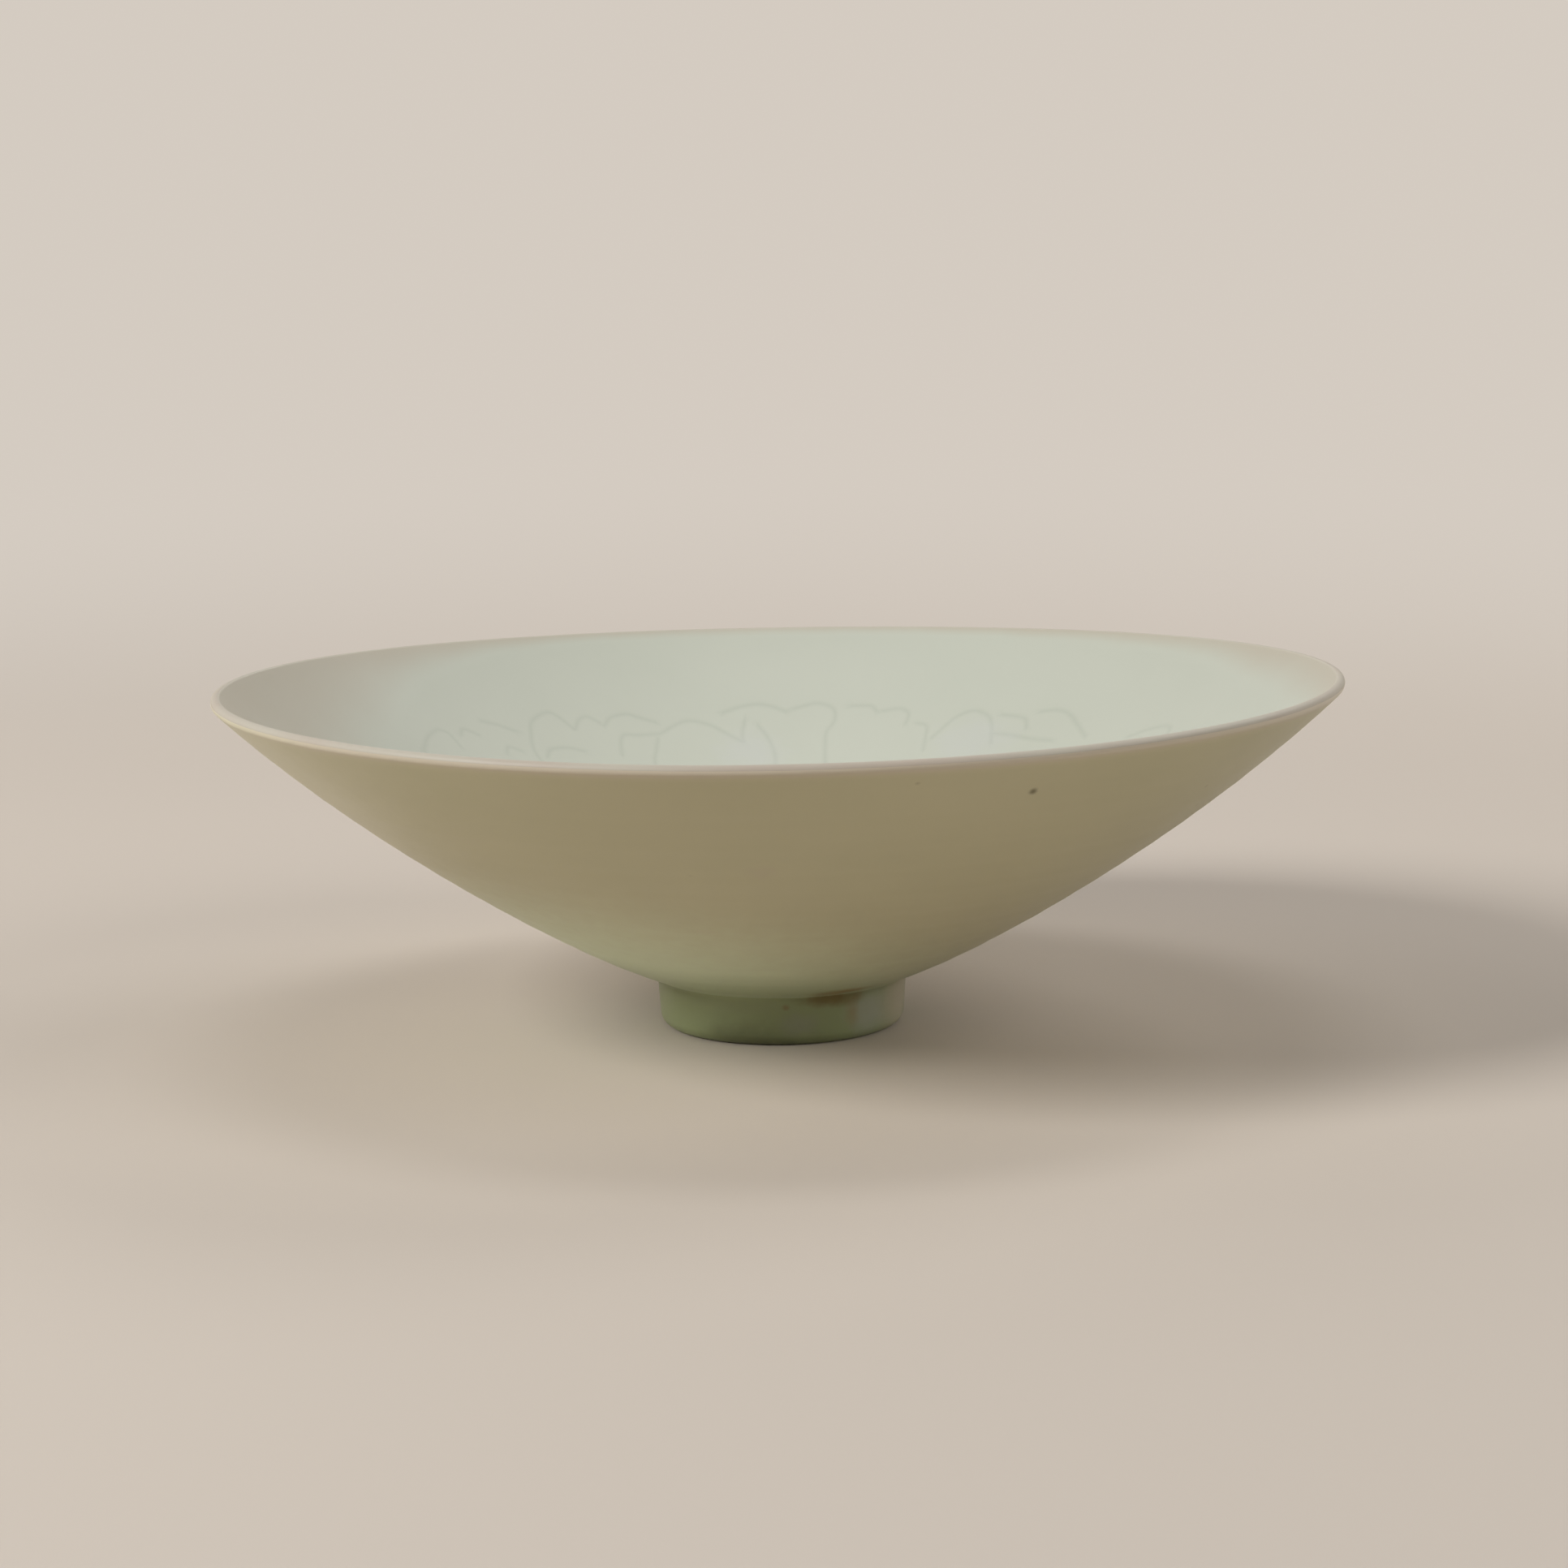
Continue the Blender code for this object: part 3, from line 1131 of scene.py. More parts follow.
class Specks(Effect):
    """Mask of fine iron specks, scattered unevenly."""

    name = "Iron specks"
    inputs = {"Scale": "Float", "Size": "Float", "Rarity": "Float"}
    outputs = {"Mask": "Float"}

    def wire_up(self, bench: NodeBench, entry: bpy.types.bpy_prop_collection) -> Wires:
        """Keeps the middles of a few cells of a scatter.

        Args:
            bench: The bench of the group's tree.
            entry: The sockets that carry the group's inputs.

        Returns:
            What each output shows.
        """
        cells = bench.add("ShaderNodeTexVoronoi", {"Vector": bench.place(), "Scale": entry["Scale"]}).outputs
        random = bench.add("ShaderNodeSeparateColor", {0: cells["Color"]}).outputs[0]
        chosen = bench.maths("GREATER_THAN", random, entry["Rarity"])
        return {"Mask": bench.maths("MULTIPLY", bench.fall(cells["Distance"], 0.0, entry["Size"]), chosen)}


# Marks on the glaze: some are real stains, and some are painted light and shade.
@dataclass(frozen=True)
class StainOrPaintedLight:
    """A coloured mark on a glaze.

    Attributes:
        place: Its middle in the row frame, in millimetres.
        reach: How far it reaches along each axis, in millimetres.
        colour: Its colour.
        strength: How strongly it covers the glaze.
        blur: Share of its reach over which it fades.
        uneven: How much its edge wanders, as a share of its reach.
    """

    place: Triple
    reach: Triple
    colour: Triple
    strength: float
    blur: float = 0.9
    uneven: float = 0.9

    def over(self, bench: NodeBench, tone: bpy.types.NodeSocket) -> bpy.types.NodeSocket:
        """Lays the mark over a colour.

        Args:
            bench: The bench of the material.
            tone: The colour under the mark.

        Returns:
            The marked colour.
        """
        place, reach = (tuple(MM * part for part in size) for size in (self.place, self.reach))
        mask = bench.effect(Spot(), Place=place, Reach=reach, Blur=self.blur, Uneven=self.uneven)[0]
        return bench.blend(bench.maths("MULTIPLY", mask, self.strength), tone, self.colour)


@dataclass(frozen=True, kw_only=True)
class Finish:
    """What the glazes and the bare clay share: iron specks and an uneven skin.

    Attributes:
        name: Name of the material.
        roughness: Mean roughness.
        spread: How much the roughness varies.
        ripple: Height of the ripples in the skin, in metres.
        ripple_scale: Ripples to a metre.
        speck: Colour of the iron specks.
        speck_strength: How strongly a speck covers the colour.
        speck_scale: Cells to a metre that may hold a speck.
        speck_size: Reach of a speck, in cells.
        speck_rarity: Share of cells without a speck.
    """

    name: str
    roughness: float = 0.35
    spread: float = 0.12
    ripple: float = 0.02 * MM
    ripple_scale: float = 220.0
    speck: Triple = (0.16, 0.11, 0.05)
    speck_strength: float = 0.35
    speck_scale: float = 160.0
    speck_size: float = 0.09
    speck_rarity: float = 0.93

    def tone(self, bench: NodeBench) -> bpy.types.NodeSocket:
        """Colour under the specks."""
        raise NotImplementedError

    def material(self) -> bpy.types.Material:
        """Builds the material.

        Returns:
            The material.
        """
        material, bench, shader = NodeBench.for_material(self.name)
        specks = bench.effect(Specks(), Scale=self.speck_scale, Size=self.speck_size,
                              Rarity=self.speck_rarity)[0]
        speckled = bench.maths("MULTIPLY", specks, self.speck_strength)
        skin = bench.effect(GlazeSkin(), Roughness=self.roughness, Spread=self.spread,
                            Ripple_Scale=self.ripple_scale)
        ripples = {"Height": skin["Height"], "Distance": self.ripple, "Strength": 1.0}
        bench.wire(shader.inputs["Base Color"], bench.blend(speckled, self.tone(bench), self.speck))
        bench.wire(shader.inputs["Roughness"], skin["Roughness"])
        bench.wire(shader.inputs["Normal"], bench.add("ShaderNodeBump", ripples).outputs[0])
        return material


@dataclass(frozen=True, kw_only=True)
class GlazeFinish(Finish):
    """Celadon glaze over pale clay.

    Attributes:
        thin: Colour where the clay shows through.
        body: Colour on a plain wall.
        deep: Colour where the glaze pools.
        cloud: How much the depth seems to vary in soft clouds.
        cloud_scale: Clouds to a metre.
        stains: Marks on the glaze, real stains and painted light and shade.
    """

    thin: Triple
    body: Triple
    deep: Triple
    cloud: float = 0.5
    cloud_scale: float = 45.0
    stains: tuple[StainOrPaintedLight, ...] = ()

    def tone(self, bench: NodeBench) -> bpy.types.NodeSocket:
        """Colour by the glaze's depth, with its stains.

        Args:
            bench: The bench of the material.

        Returns:
            The colour.
        """
        depth = bench.add("ShaderNodeAttribute", attribute_name=PAINTED_LIGHT_AND_DEPTH_ATTRIBUTE).outputs["Fac"]
        tone = bench.effect(GlazeTone(), Depth=depth, Thin=self.thin, Body=self.body, Deep=self.deep,
                            Cloud=self.cloud, Cloud_Scale=self.cloud_scale)[0]
        for stain in self.stains:
            tone = stain.over(bench, tone)
        return tone


@dataclass(frozen=True, kw_only=True)
class ClayFinish(Finish):
    """Bare fired clay, pale with a pink cast.

    Attributes:
        body: Main colour.
        flush: Colour of the pinker patches.
        flush_scale: Pinker patches to a metre.
        flush_detail: Fineness of their edges.
        flush_from: Values of their noise between which the colour turns.
    """

    body: Triple
    flush: Triple
    flush_scale: float = 35.0
    flush_detail: float = 3.0
    flush_from: tuple[float, float] = (0.35, 0.7)

    def tone(self, bench: NodeBench) -> bpy.types.NodeSocket:
        """Pale clay with pinker patches."""
        patches = bench.noise(bench.place(), self.flush_scale, self.flush_detail)
        return bench.blend(bench.ramp(patches, *self.flush_from), self.body, self.flush)


BARE_CLAY = ClayFinish(
    name="bare_clay", body=(0.51, 0.47, 0.385), flush=(0.49, 0.42, 0.345), roughness=0.55, spread=0.25,
    ripple=0.03 * MM, ripple_scale=900.0, speck=(0.22, 0.17, 0.11), speck_strength=0.3, speck_scale=300.0,
    speck_size=0.12, speck_rarity=0.96,
)
# Its thin colour shows at the lip, and at the inside's left and right ends it is painted reflection and
# shade.
INSIDE_CELADON = GlazeFinish(
    name="inside_celadon", thin=(0.525, 0.48, 0.385), body=(0.567, 0.583, 0.494), deep=(0.435, 0.465, 0.384),
    roughness=0.5,
    stains=(
        # Two painted reflections of a lamp: faint bluish patches on the far wall.
        StainOrPaintedLight((-5.1, 63.8, 35.6), (9.0, 9.0, 6.0), (0.57, 0.58, 0.55), 0.4),
        StainOrPaintedLight((35.3, 56.8, 37.9), (12.0, 12.0, 6.0), (0.57, 0.58, 0.55), 0.4),
    ),
)
OUTSIDE_CELADON = GlazeFinish(
    name="outside_celadon", thin=(0.60, 0.53, 0.41), body=(0.543, 0.505, 0.326), deep=(0.32, 0.34, 0.19),
    stains=(
        # A dark iron spot under the lip and two faint warm patches in front.
        StainOrPaintedLight((34.7, -76.8, 48.9), (0.9, 1.2, 1.2), (0.10, 0.08, 0.03), 0.8),
        StainOrPaintedLight((-2.7, -69.5, 36.8), (3.5, 4.0, 2.0), (0.50, 0.44, 0.32), 0.4),
        StainOrPaintedLight((-11.0, -50.8, 24.8), (3.0, 4.0, 0.8), (0.52, 0.44, 0.30), 0.5),
        # Painted light: the left end is paler, as lit from the left. The wall turns paler and greener towards
        # the bottom.
        StainOrPaintedLight((-78.0, -30.0, 44.0), (45.0, 45.0, 35.0), (0.67, 0.63, 0.44), 0.9, uneven=0.2),
        StainOrPaintedLight((-20.0, -16.0, 12.0), (62.0, 62.0, 32.0), (0.68, 0.755, 0.525), 1.0, uneven=0.2),
        # Deeper glaze and painted shade: darker and greener just over the foot, where the corner is in shade.
        StainOrPaintedLight((-9.0, -3.0, 8.0), (46.0, 46.0, 12.0), (0.36, 0.40, 0.245), 0.65, blur=0.6, uneven=0.1),
        # The edge of the brown stain in the corner.
        StainOrPaintedLight((10.0, -20.5, 8.8), (7.5, 5.0, 1.6), (0.32, 0.20, 0.06), 0.8),
    ),
)
FOOT_CELADON = GlazeFinish(
    name="foot_celadon", thin=(0.45, 0.40, 0.30), body=(0.315, 0.358, 0.180), deep=(0.165, 0.17, 0.072),
    roughness=0.34, cloud=0.7,
    stains=(
        # Painted shade: darker green along the standing edge, where the foot turns down to the floor. Paler
        # green at the top left and grey in the middle.
        StainOrPaintedLight((-5.5, -19.0, 0.0), (17.0, 8.0, 5.8), (0.145, 0.158, 0.072), 0.9, uneven=0.5),
        StainOrPaintedLight((-8.0, -18.0, 7.8), (15.0, 10.0, 3.6), (0.40, 0.45, 0.25), 0.6, uneven=0.3),
        StainOrPaintedLight((2.6, -19.5, 3.7), (4.5, 4.0, 3.0), (0.31, 0.315, 0.225), 0.6, uneven=0.6),
        # Paler and warmer towards the right end.
        StainOrPaintedLight((13.5, -13.5, 4.5), (6.0, 8.0, 5.5), (0.42, 0.43, 0.335), 0.8, uneven=0.5),
        StainOrPaintedLight((19.0, -7.0, 5.0), (7.0, 10.0, 9.0), (0.54, 0.48, 0.355), 0.85, uneven=0.2),
        # The brown stain in the corner, its run down the foot, and two iron spots.
        StainOrPaintedLight((7.8, -18.1, 7.4), (8.5, 6.0, 1.9), (0.17, 0.105, 0.018), 0.8),
        StainOrPaintedLight((10.7, -15.5, 4.5), (1.8, 3.0, 3.4), (0.34, 0.23, 0.10), 0.6),
        StainOrPaintedLight((0.5, -19.5, 6.4), (1.0, 2.0, 0.8), (0.26, 0.18, 0.08), 0.8),
        StainOrPaintedLight((2.4, -17.9, 1.7), (1.0, 2.0, 0.8), (0.26, 0.18, 0.08), 0.7),
    ),
)
BASE_CELADON = GlazeFinish(
    name="base_celadon", thin=(0.45, 0.40, 0.30), body=(0.36, 0.39, 0.25), deep=(0.20, 0.22, 0.12),
    roughness=0.34, cloud=0.9,
)


@dataclass
class Coat:
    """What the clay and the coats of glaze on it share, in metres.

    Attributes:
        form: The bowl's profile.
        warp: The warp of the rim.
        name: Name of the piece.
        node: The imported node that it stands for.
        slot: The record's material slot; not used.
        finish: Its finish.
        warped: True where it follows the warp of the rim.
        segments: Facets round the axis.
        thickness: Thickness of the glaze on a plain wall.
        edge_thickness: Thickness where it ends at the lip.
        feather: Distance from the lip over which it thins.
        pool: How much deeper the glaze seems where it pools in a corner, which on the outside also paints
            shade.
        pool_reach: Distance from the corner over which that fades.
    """

    form: BowlForm
    warp: RimWarp
    name: str
    node: str
    slot: Slot
    finish: Finish
    warped: bool = True
    segments: int = 480
    thickness: float = 0.35 * MM
    edge_thickness: float = 0.03 * MM
    feather: float = 6.0 * MM
    pool: float = 0.0
    pool_reach: float = 2.0 * MM

    def coat_thickness(self, from_lip: np.ndarray) -> np.ndarray:
        """Thickness of the coat at distances from its edge at the lip."""
        grow = smooth_step(from_lip, 0.0, self.feather)
        return self.edge_thickness + (self.thickness - self.edge_thickness) * grow

    def pooled(self, from_corner: np.ndarray) -> np.ndarray:
        """Added depth of the glaze at distances from a corner."""
        return self.pool * (1.0 - smooth_step(from_corner, 0.0, self.pool_reach))

    def under_inside(self, clearance: float = 0.0) -> np.ndarray:
        """Underside of the inside glaze.

        Args:
            clearance: How much farther in.

        Returns:
            Points from the axis to the lip, one a row.
        """
        face = self.form.inside_face()
        length = run_length(face)
        under = set_back(face, self.coat_thickness(length[-1] - length) + clearance)
        under[0, 0] = 0.0
        return under

    def under_outside(self, rows: int, clearance: float = 0.0) -> np.ndarray:
        """Underside of the outside glaze from the lip to the foot, and farther in by a clearance."""
        wall, out = self.form.wall(np.linspace(1.0, 0.0, rows))
        return wall - out * (self.coat_thickness(run_length(wall)) + clearance)[:, None]

    def mesh(self) -> Mesh:
        """Gives the piece as a closed mesh, before the warp."""
        raise NotImplementedError

    def build(self) -> bpy.types.Object:
        """Makes the piece, and gives it its finish and its place in the frame.

        Returns:
            The piece.
        """
        mesh = self.mesh()
        if self.warped:
            mesh.points = self.warp.apply(mesh.points, self.form)
        piece = mesh.make(self.name)
        piece.data.materials.append(self.finish.material())
        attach(piece, BODY)
        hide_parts(self.node)
        log.info("%s: %d faces, for %s", self.name, len(mesh.faces), self.node)
        return piece


@dataclass
class ClayBody(Coat):
    """Thrown wall and floor under the coats, with the bare lip.

    Attributes:
        clearance: Gap between the clay and the coats on it.
        rows: Points along each face.
        close_rows: Points that stay close together at the lip's inner shoulder.
        lip_rows: Points over the bare lip.
    """

    name: str = "clay_body"
    node: str = "porcelain_body"
    slot: Slot = Slot.PORCELAIN
    finish: Finish = BARE_CLAY
    clearance: float = 0.03 * MM
    rows: int = 60
    close_rows: int = 12
    lip_rows: int = 24

    def mesh(self) -> Mesh:
        """Turns the body as one closed piece, hollowed for the foot ring's seat.

        Returns:
            The closed mesh, before the warp.
        """
        form = self.form
        inside = thinned(self.under_inside(self.clearance), self.rows, self.close_rows)[:-1]
        lip = form.lip_arc(form.inner_shoulder - form.inner_cover, form.outer_shoulder + form.outer_cover,
                           self.lip_rows)
        outside = self.under_outside(self.rows, self.clearance)
        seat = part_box("foot_ring")[1].z + form.fit_gap
        boss_radius = form.recess_radius + self.thickness
        boss_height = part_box("base_glaze")[1].z + form.fit_gap
        outside = outside[outside[:, 1] > seat]
        boss = ((outside[-1, 0], seat), (boss_radius, seat), (boss_radius, boss_height), (0.0, boss_height))
        section = np.concatenate((inside, lip, outside, boss))
        return Mesh.turned(section, self.segments, np.zeros(len(section)))

    def build(self) -> bpy.types.Object:
        """Makes the body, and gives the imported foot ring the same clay.

        Returns:
            The body.
        """
        piece = super().build()
        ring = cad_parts["foot_ring"]
        ring.data.materials.clear()
        ring.data.materials.append(piece.data.materials[0])
        log.info("foot_ring: the packed solid, in bare clay")
        return piece


@dataclass
class InsideCoat(Coat):
    """Coat over the floor and the inner wall, with the carved scroll.

    The carved face is a net of points in plan, in millimetres, that is lifted to the wall.

    Attributes:
        scroll: The carving.
        spacing: Spacing of points on the plain wall, in millimetres.
        first_row: Distance of the first row of points from the lip's shoulder, in millimetres.
        second_row: Distance between the first two rows, in spacings.
        row_height: Distance between the other rows, in spacings.
        guide_room: Plain points keep this far from the rows beside a carved line, in millimetres.
        plan_digits: Decimals of a place or a bearing in plan.
        merge: Points in plan closer than this are merged, in millimetres.
        lip_fade: Distance from the lip over which the glaze grows to its full depth.
        left_end_painted_light: How much farther that is at the left end, where the thin colour is painted
            reflection and shade.
        right_end_painted_light: How much farther it is at the right end, where the thin colour is painted
            shade and reflection.
        painted_end_power: How narrowly the two painted ends are drawn.
        lip_start: Distance beyond the edge at which the growth starts.
        cut_pool: How much deeper the glaze lies in a carved line.
        back_rows: Points along the back.
        close_rows: Points of the back that stay close together at the lip.
    """

    name: str = "inside_coat"
    node: str = "inside_glaze"
    slot: Slot = Slot.INSIDE
    finish: Finish = INSIDE_CELADON
    scroll: CarvedScroll = CarvedScroll()
    spacing: float = 1.5
    first_row: float = 0.7
    second_row: float = 0.6
    row_height: float = 0.87
    guide_room: float = 0.3
    plan_digits: int = 4
    merge: float = 0.02
    lip_fade: float = 2.6 * MM
    left_end_painted_light: float = 38.0 * MM
    right_end_painted_light: float = 8.0 * MM
    painted_end_power: int = 6
    lip_start: float = 0.6 * MM
    cut_pool: float = 0.45
    back_rows: int = 48
    close_rows: int = 3

    def plain_points(self, face: np.ndarray) -> tuple[np.ndarray, np.ndarray]:
        """Points of the plain wall in plan.

        Args:
            face: The finished inside as a half section.

        Returns:
            Points of the edge, in order round the axis, and points within it.
        """
        lip_radii = face[-self.form.lip_rows:, 0][::-1] / MM
        around = circle(self.segments)
        rows = [around * radius for radius in lip_radii[1:]]
        radius, row = lip_radii[-1] - self.first_row, 0
        while radius > self.spacing:
            count = round(math.tau * radius / self.spacing)
            rows.append(radius * circle(count, 0.5 * (row % 2)))
            radius -= self.spacing * (self.row_height if row else self.second_row)
            row += 1
        rows.append(np.zeros((1, 2)))
        return around * lip_radii[0], np.concatenate(rows)

    def mesh(self) -> Mesh:
        """Nets the plan along the carved lines, lifts it to the wall and closes it with a back.

        Returns:
            The closed mesh, before the warp.
        """
        face = self.form.inside_face()
        lines = self.scroll.lines()
        edge, plain = self.plain_points(face)
        clear = self.scroll.distances(lines, plain) > self.scroll.half_width + self.guide_room
        guide, guide_edges = self.scroll.guide(lines)
        plan = np.round(np.concatenate((edge, plain[clear], guide)), self.plan_digits)
        first = len(plan) - len(guide)
        rim_edges = [(i, (i + 1) % len(edge)) for i in range(len(edge))]
        line_edges = [(first + start, first + end) for start, end in guide_edges]
        net = delaunay_2d_cdt([Vector(point) for point in plan], rim_edges + line_edges, [], 0, self.merge)
        flat = np.array([tuple(point) for point in net[0]])
        front = self.relief(face, lines, flat, [tuple(corners) for corners in net[2]])
        on_edge = np.flatnonzero(np.linalg.norm(flat, axis=1) > np.linalg.norm(edge[0]) - self.merge)
        bearing = np.round(np.arctan2(flat[on_edge, 1], flat[on_edge, 0]), self.plan_digits)
        return self.closed(front, on_edge[np.argsort(np.mod(bearing, math.tau))])

    def relief(self, face: np.ndarray, lines: list[np.ndarray], flat: np.ndarray, faces: Faces) -> Mesh:
        """Lifts the net to the wall and cuts the lines.

        Args:
            face: The finished inside as a half section.
            lines: Carved lines in plan.
            flat: Points of the net in plan.
            faces: Its triangles.

        Returns:
            The carved face.
        """
        radii = np.linalg.norm(flat, axis=1) * MM
        length = run_length(face)
        from_lip = length[-1] - np.interp(radii, face[:, 0], length)
        cut = 1.0 - smooth_step(self.scroll.distances(lines, flat), 0.0, self.scroll.half_width)
        heights = np.interp(radii, face[:, 0], face[:, 1]) - cut * self.scroll.cut_depth * MM
        # Painted reflection and shade: towards the left and right ends, as the camera sees them, the depth
        # stays low so that the pale warm thin colour shows.
        across = flat[:, 0] / np.maximum(np.linalg.norm(flat, axis=1), self.spacing)
        painted_end_light = np.where(across < 0.0, self.left_end_painted_light, self.right_end_painted_light)
        fade = self.lip_fade + painted_end_light * across ** self.painted_end_power
        grown = np.clip((from_lip + self.lip_start) / (fade + self.lip_start), 0.0, 1.0)
        return Mesh(np.column_stack((flat * MM, heights)), faces, grown + self.cut_pool * cut)

    def closed(self, front: Mesh, rim: np.ndarray) -> Mesh:
        """Closes the carved face with a back that lies on the clay.

        Args:
            front: The carved face.
            rim: Numbers of its edge points, in order round the axis.

        Returns:
            The closed shell.
        """
        under = thinned(self.under_inside(), self.back_rows, self.close_rows)[::-1]
        back = Mesh.turned(under, self.segments, np.ones(len(under)))
        start = len(front.points)
        numbers = [*rim.tolist(), *range(start, start + self.segments)]
        lace = Mesh.strip(0, self.segments, self.segments)
        faces = [tuple(numbers[corner] for corner in corners) for corners in lace]
        faces += [tuple(start + corner for corner in corners) for corners in back.faces]
        points = np.concatenate((front.points, back.points))
        return Mesh(points, front.faces + faces, np.concatenate((front.depth, back.depth)))


@dataclass
class OutsideCoat(Coat):
    """Coat over the outer wall, from the lip to the corner at the foot, with faint throwing rings.

    Attributes:
        lip_fade: Distances from the edge at the lip between which the glaze grows to its full depth.
        back_rows: Points along the back.
        ring_height: Height of the throwing rings.
        ring_spacing: Mean spacing of the rings.
        ring_waves: Waves that add up to the rings, each a share of the height, a rate and a phase.
        ring_fade: Distances from either end of the coat between which the rings grow.
    """

    name: str = "outside_coat"
    node: str = "outside_glaze"
    slot: Slot = Slot.OUTSIDE
    finish: Finish = OUTSIDE_CELADON
    # The glaze pools deeper in the corner at the foot, and over this reach its darker colour is also painted
    # shade falling into the corner.
    pool: float = 0.6
    pool_reach: float = 4.0 * MM
    lip_fade: tuple[float, float] = (-0.2 * MM, 2.6 * MM)
    back_rows: int = 30
    ring_height: float = 0.02 * MM
    ring_spacing: float = 5.5 * MM
    ring_waves: tuple[Triple, ...] = ((1.0, 1.0, 0.0), (0.6, 0.43, 1.0), (0.4, 1.71, 2.0))
    ring_fade: tuple[float, float] = (2.0 * MM, 8.0 * MM)

    def mesh(self) -> Mesh:
        """Turns the coat as a closed shell and raises the rings on it.

        Returns:
            The closed mesh, before the warp.
        """
        face = self.form.outside_face()
        length = run_length(face)
        depth = smooth_step(length, *self.lip_fade) + self.pooled(length[-1] - length)
        mesh = Mesh.shell(face, self.under_outside(self.back_rows), self.segments, depth)
        mesh.points[:len(face) * self.segments, 2] += np.repeat(self.throwing_rings(length), self.segments)
        return mesh

    def throwing_rings(self, length: np.ndarray) -> np.ndarray:
        """Lift of the wall by the rings that fingers and tool left.

        Args:
            length: Distances from the lip.

        Returns:
            The lift at each.
        """
        turns = length / self.ring_spacing * math.tau
        waves = sum(height * np.sin(turns * rate + phase) for height, rate, phase in self.ring_waves)
        fade = smooth_step(length, *self.ring_fade) * smooth_step(length[-1] - length, *self.ring_fade)
        return self.ring_height * waves * fade


@dataclass
class FootCoat(Coat):
    """Thicker, greener coat that wraps the foot, with iron stains; the foot stays round and level."""

    name: str = "foot_coat"
    node: str = "foot_glaze"
    slot: Slot = Slot.FOOT
    finish: Finish = FOOT_CELADON
    warped: bool = False
    pool: float = 0.1
    pool_reach: float = 1.6 * MM

    def mesh(self) -> Mesh:
        """Turns the coat as a closed shell.

        Returns:
            The closed mesh.
        """
        face = self.form.foot_face()
        depth = 1.0 + self.pooled(run_length(face))
        return Mesh.shell(face, set_back(face, self.thickness), self.segments, depth)


@dataclass
class BaseCoat(Coat):
    """Coat on the base, inside the foot ring; the base stays round and level."""

    name: str = "base_coat"
    node: str = "base_glaze"
    slot: Slot = Slot.FOOT
    finish: Finish = BASE_CELADON
    warped: bool = False
    pool: float = 0.8

    def mesh(self) -> Mesh:
        """Turns the coat as a closed disc with a flat back.

        Returns:
            The closed mesh.
        """
        face = self.form.base_face()
        back = np.column_stack((face[:, 0], np.full(len(face), self.form.recess_depth + self.thickness)))
        depth = 1.0 + self.pooled(run_length(face))
        section = np.concatenate((back[::-1], face))
        return Mesh.turned(section, self.segments, np.concatenate((np.ones(len(back)), depth)))


@dataclass(frozen=True)
class Softbox:
    """A soft round lamp.

    Attributes:
        name: Its name.
        stand: Where it stands, in metres.
        width: Its width in metres.
        power: Its power in watts.
        aim: The point that it faces.
    """

    name: str
    stand: Triple
    width: float
    power: float
    aim: Triple = BOWL_MIDDLE

    def place(self) -> None:
        """Adds the lamp to the scene, out of the camera's sight."""
        light = bpy.data.lights.new(self.name, "AREA")
        light.shape = "DISK"
        light.size = self.width
        light.energy = self.power
        lamp = put(self.name, light)
        lamp.location = self.stand
        lamp.rotation_mode = "QUATERNION"
        lamp.rotation_quaternion = (Vector(self.stand) - Vector(self.aim)).to_track_quat("Z", "Y")
        lamp.visible_camera = False


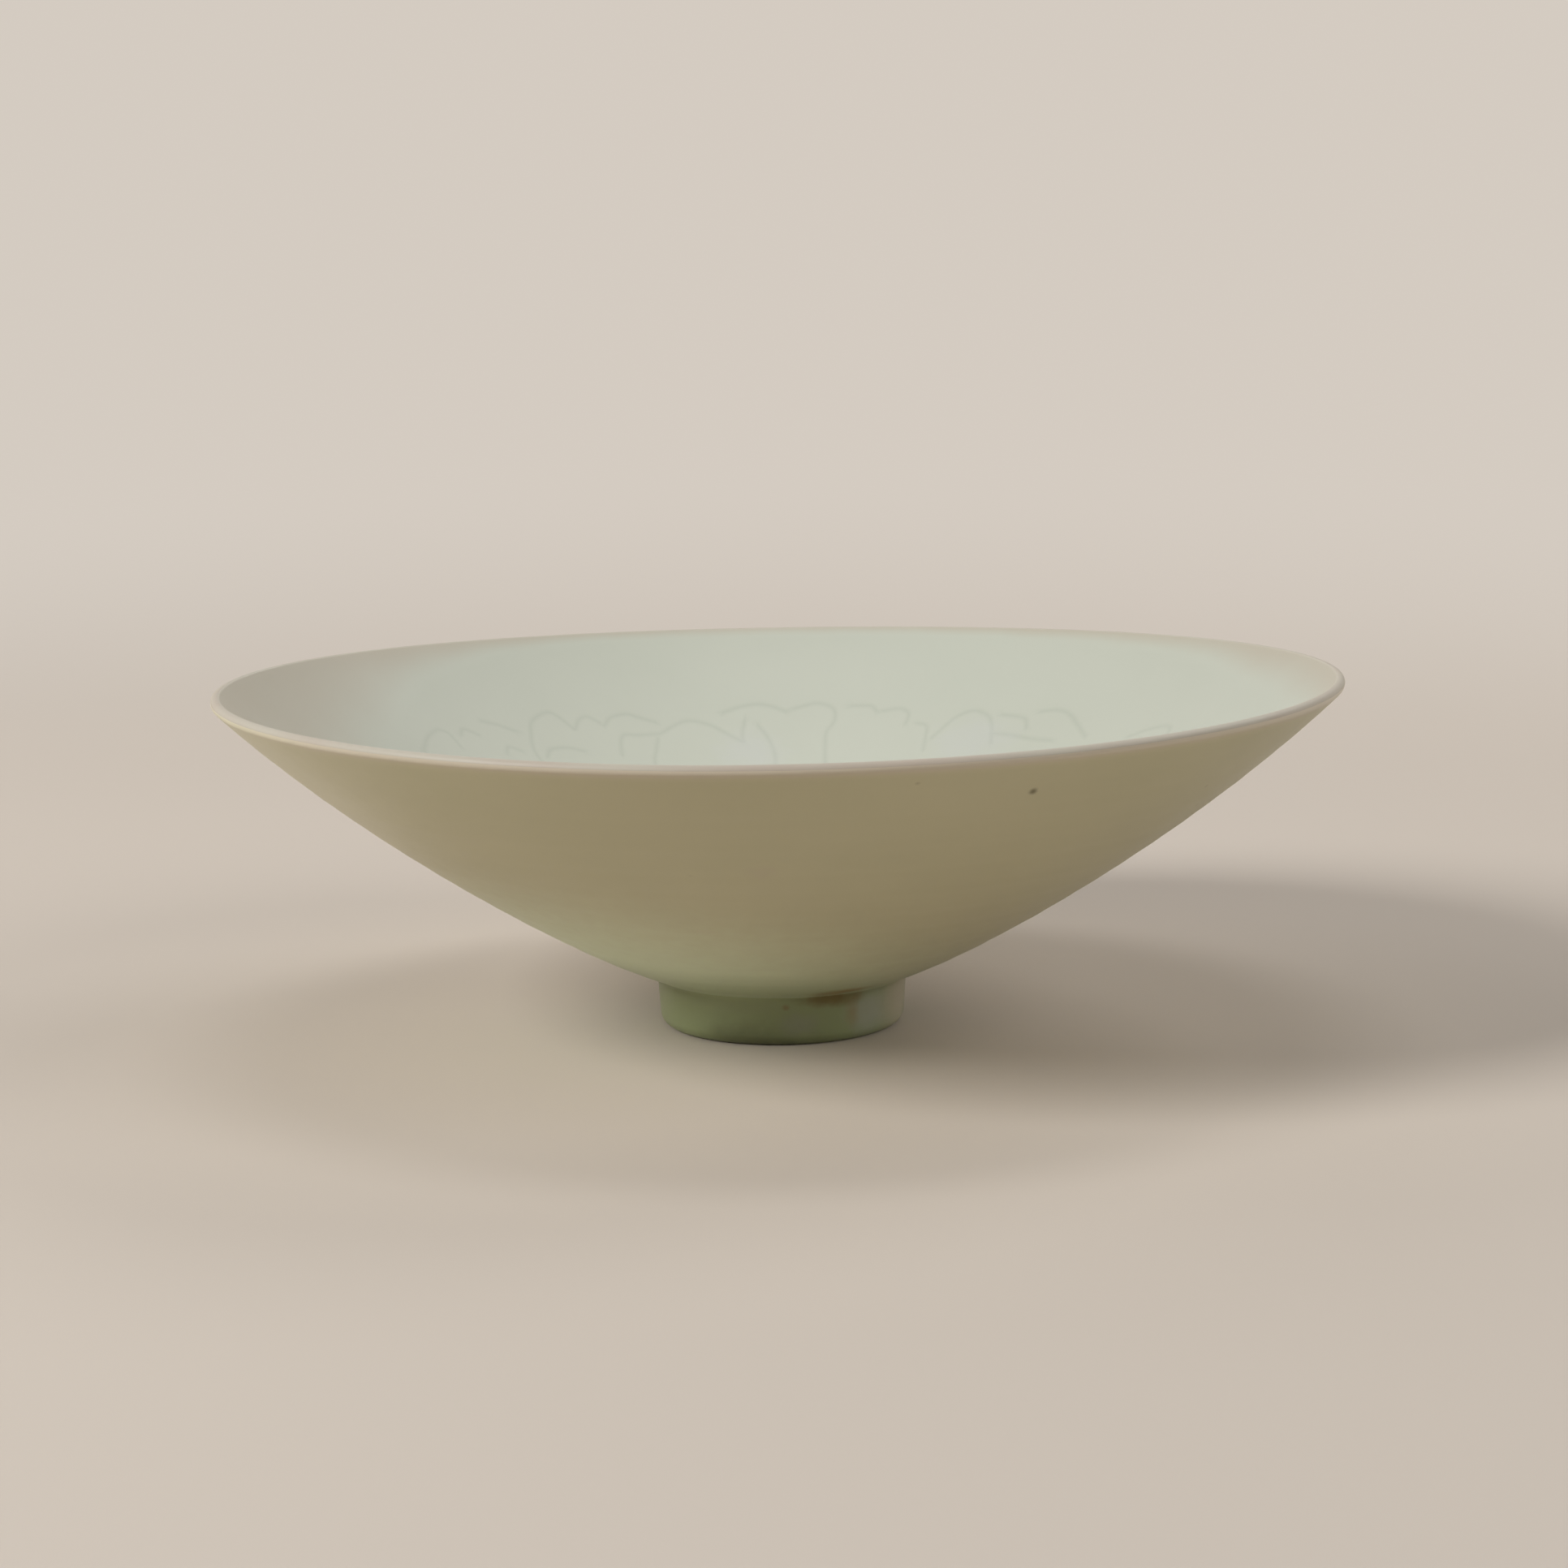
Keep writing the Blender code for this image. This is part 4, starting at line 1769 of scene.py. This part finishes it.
@dataclass(frozen=True)
class Studio:
    """Pale paper sweep, soft lamps and the camera; lengths are in metres and angles in degrees.

    Attributes:
        paper: Colour of the sweep.
        paper_shade: How dark the soft mottling of the paper goes, as a share of its colour.
        paper_grain: Scale of that mottling.
        paper_detail: Fineness of it.
        paper_roughness: Roughness of the paper.
        backdrop: Colour that the far paper and the sky show, without lighting anything.
        near: Distance from the bowl up to which the paper shows its own light and shade.
        far: Distance from which it shows the plain backdrop.
        lamps: The soft lamps.
        half_width: Half the width of the sweep.
        front: Where it starts, in front of the bowl.
        flat_depth: How far it lies flat behind the bowl.
        curve: Radius of its bend.
        bend: Angle of its bend.
        bend_rows: Rows of points in it.
        camera_distance: Horizontal distance of the camera from the bowl's axis.
        camera_height: Height of the camera.
        pitch: How far the camera looks down.
        roll: How far it leans.
        yaw: How far it turns.
        lens: Focal length in millimetres.
        sensor: Width of the sensor in millimetres.
    """

    paper: Triple = (0.665, 0.588, 0.508)
    paper_shade: float = 0.97
    paper_grain: float = 4.0
    paper_detail: float = 3.0
    paper_roughness: float = 0.85
    backdrop: Triple = (0.66, 0.60, 0.535)
    near: float = 0.3
    far: float = 0.9
    lamps: tuple[Softbox, ...] = (
        Softbox("window", (-0.913, -0.549, 0.776), 0.5, 12.4),
        Softbox("left_back", (-0.975, 0.563, 0.68), 0.8, 1.9),
        Softbox("right_fill", (0.975, -0.563, 0.68), 0.8, 5.0),
        Softbox("behind", (0.0, 1.126, 0.68), 0.5, 0.8),
        Softbox("backdrop_light", (0.0, 0.3, 1.6), 0.8, 5.4, aim=(0.0, 1.5, 0.4)),
        Softbox("backdrop_right", (0.8, 0.7, 0.9), 0.8, 4.4, aim=(0.4, 0.8, 0.0)),
    )
    half_width: float = 2.6
    front: float = -1.8
    flat_depth: float = 0.45
    curve: float = 2.0
    bend: float = 75.0
    bend_rows: int = 61
    camera_distance: float = 0.4909
    camera_height: float = 0.1121
    pitch: float = 8.476
    roll: float = 0.842
    yaw: float = -0.092
    lens: float = 70.33
    sensor: float = 36.0

    def build(self) -> None:
        """Builds the sweep, the light and the camera."""
        self.sweep()
        world = bpy.data.worlds.new("plain_backdrop")
        world.use_nodes = True
        bench = NodeBench(world.node_tree)
        sky = world.node_tree.nodes["Background"].inputs
        bench.wire(sky["Color"], self.backdrop)
        bench.wire(sky["Strength"], self.seen(bench))
        bpy.context.scene.world = world
        for lamp in self.lamps:
            lamp.place()
        self.camera()
        bpy.context.scene.view_settings.view_transform = "Standard"

    @staticmethod
    def seen(bench: NodeBench) -> bpy.types.NodeSocket:
        """Tells the rays that show a surface from the rays that it lights with.

        Args:
            bench: The bench of the material or the world.

        Returns:
            1 for rays from the camera, straight or by a reflection, and 0 for others.
        """
        rays = bench.add("ShaderNodeLightPath").outputs
        shown = bench.maths("MAXIMUM", rays["Is Camera Ray"], rays["Is Glossy Ray"])
        return bench.maths("MAXIMUM", shown, rays["Is Transmission Ray"])

    def paper_material(self) -> bpy.types.Material:
        """Faintly mottled paper that turns into the plain backdrop far from the bowl.

        Returns:
            The material.
        """
        material, bench, shader = NodeBench.for_material("pale_paper")
        place = bench.place()
        shade = tuple(self.paper_shade * part for part in self.paper)
        mottling = bench.noise(place, self.paper_grain, self.paper_detail)
        bench.wire(shader.inputs["Base Color"], bench.blend(mottling, self.paper, shade))
        bench.wire(shader.inputs["Roughness"], self.paper_roughness)
        plain = bench.add("ShaderNodeEmission", {"Color": self.backdrop, "Strength": 1.0}).outputs[0]
        distant = bench.ramp(bench.length(place), self.near, self.far)
        share = bench.maths("MULTIPLY", self.seen(bench), distant)
        mixed = bench.add("ShaderNodeMixShader", {0: share, 1: shader.outputs[0], 2: plain}).outputs[0]
        bench.wire(material.node_tree.nodes["Material Output"].inputs["Surface"], mixed)
        return material

    def sweep(self) -> None:
        """Lays the paper flat under the bowl and bends it up behind."""
        angles = np.radians(np.linspace(0.0, self.bend, self.bend_rows))
        bend = [(self.flat_depth + self.curve * math.sin(a), self.curve * (1 - math.cos(a))) for a in angles]
        profile = [(self.front, 0.0), *bend]
        points = [(side, y, z) for y, z in profile for side in (-self.half_width, self.half_width)]
        faces = [(2 * i, 2 * i + 1, 2 * i + 3, 2 * i + 2) for i in range(len(profile) - 1)]
        mesh = bpy.data.meshes.new("paper_sweep")
        mesh.from_pydata(points, [], faces)
        mesh.shade_smooth()
        mesh.materials.append(self.paper_material())
        put("paper_sweep", mesh)
        log.info("paper_sweep: stage")

    def camera(self) -> None:
        """Places the camera at the photograph's viewpoint."""
        lens = bpy.data.cameras.new("viewpoint")
        lens.lens = self.lens
        lens.sensor_width = self.sensor
        viewpoint = put("viewpoint", lens)
        turn = (Matrix.Rotation(math.radians(self.yaw), 4, "Z")
                @ Matrix.Rotation(QUARTER - math.radians(self.pitch), 4, "X")
                @ Matrix.Rotation(-math.radians(self.roll), 4, "Z"))
        viewpoint.matrix_world = Matrix.Translation((0.0, -self.camera_distance, self.camera_height)) @ turn
        bpy.context.scene.camera = viewpoint


def main() -> None:
    """Builds the bowl's pieces, the studio and the camera."""
    logging.basicConfig(level=logging.INFO, format="%(name)s: %(message)s")
    form = BowlForm.from_frame()
    warp = RimWarp()
    for piece in (ClayBody, InsideCoat, OutsideCoat, FootCoat, BaseCoat):
        piece(form, warp).build()
    Studio().build()


if __name__ == "__main__":
    main()
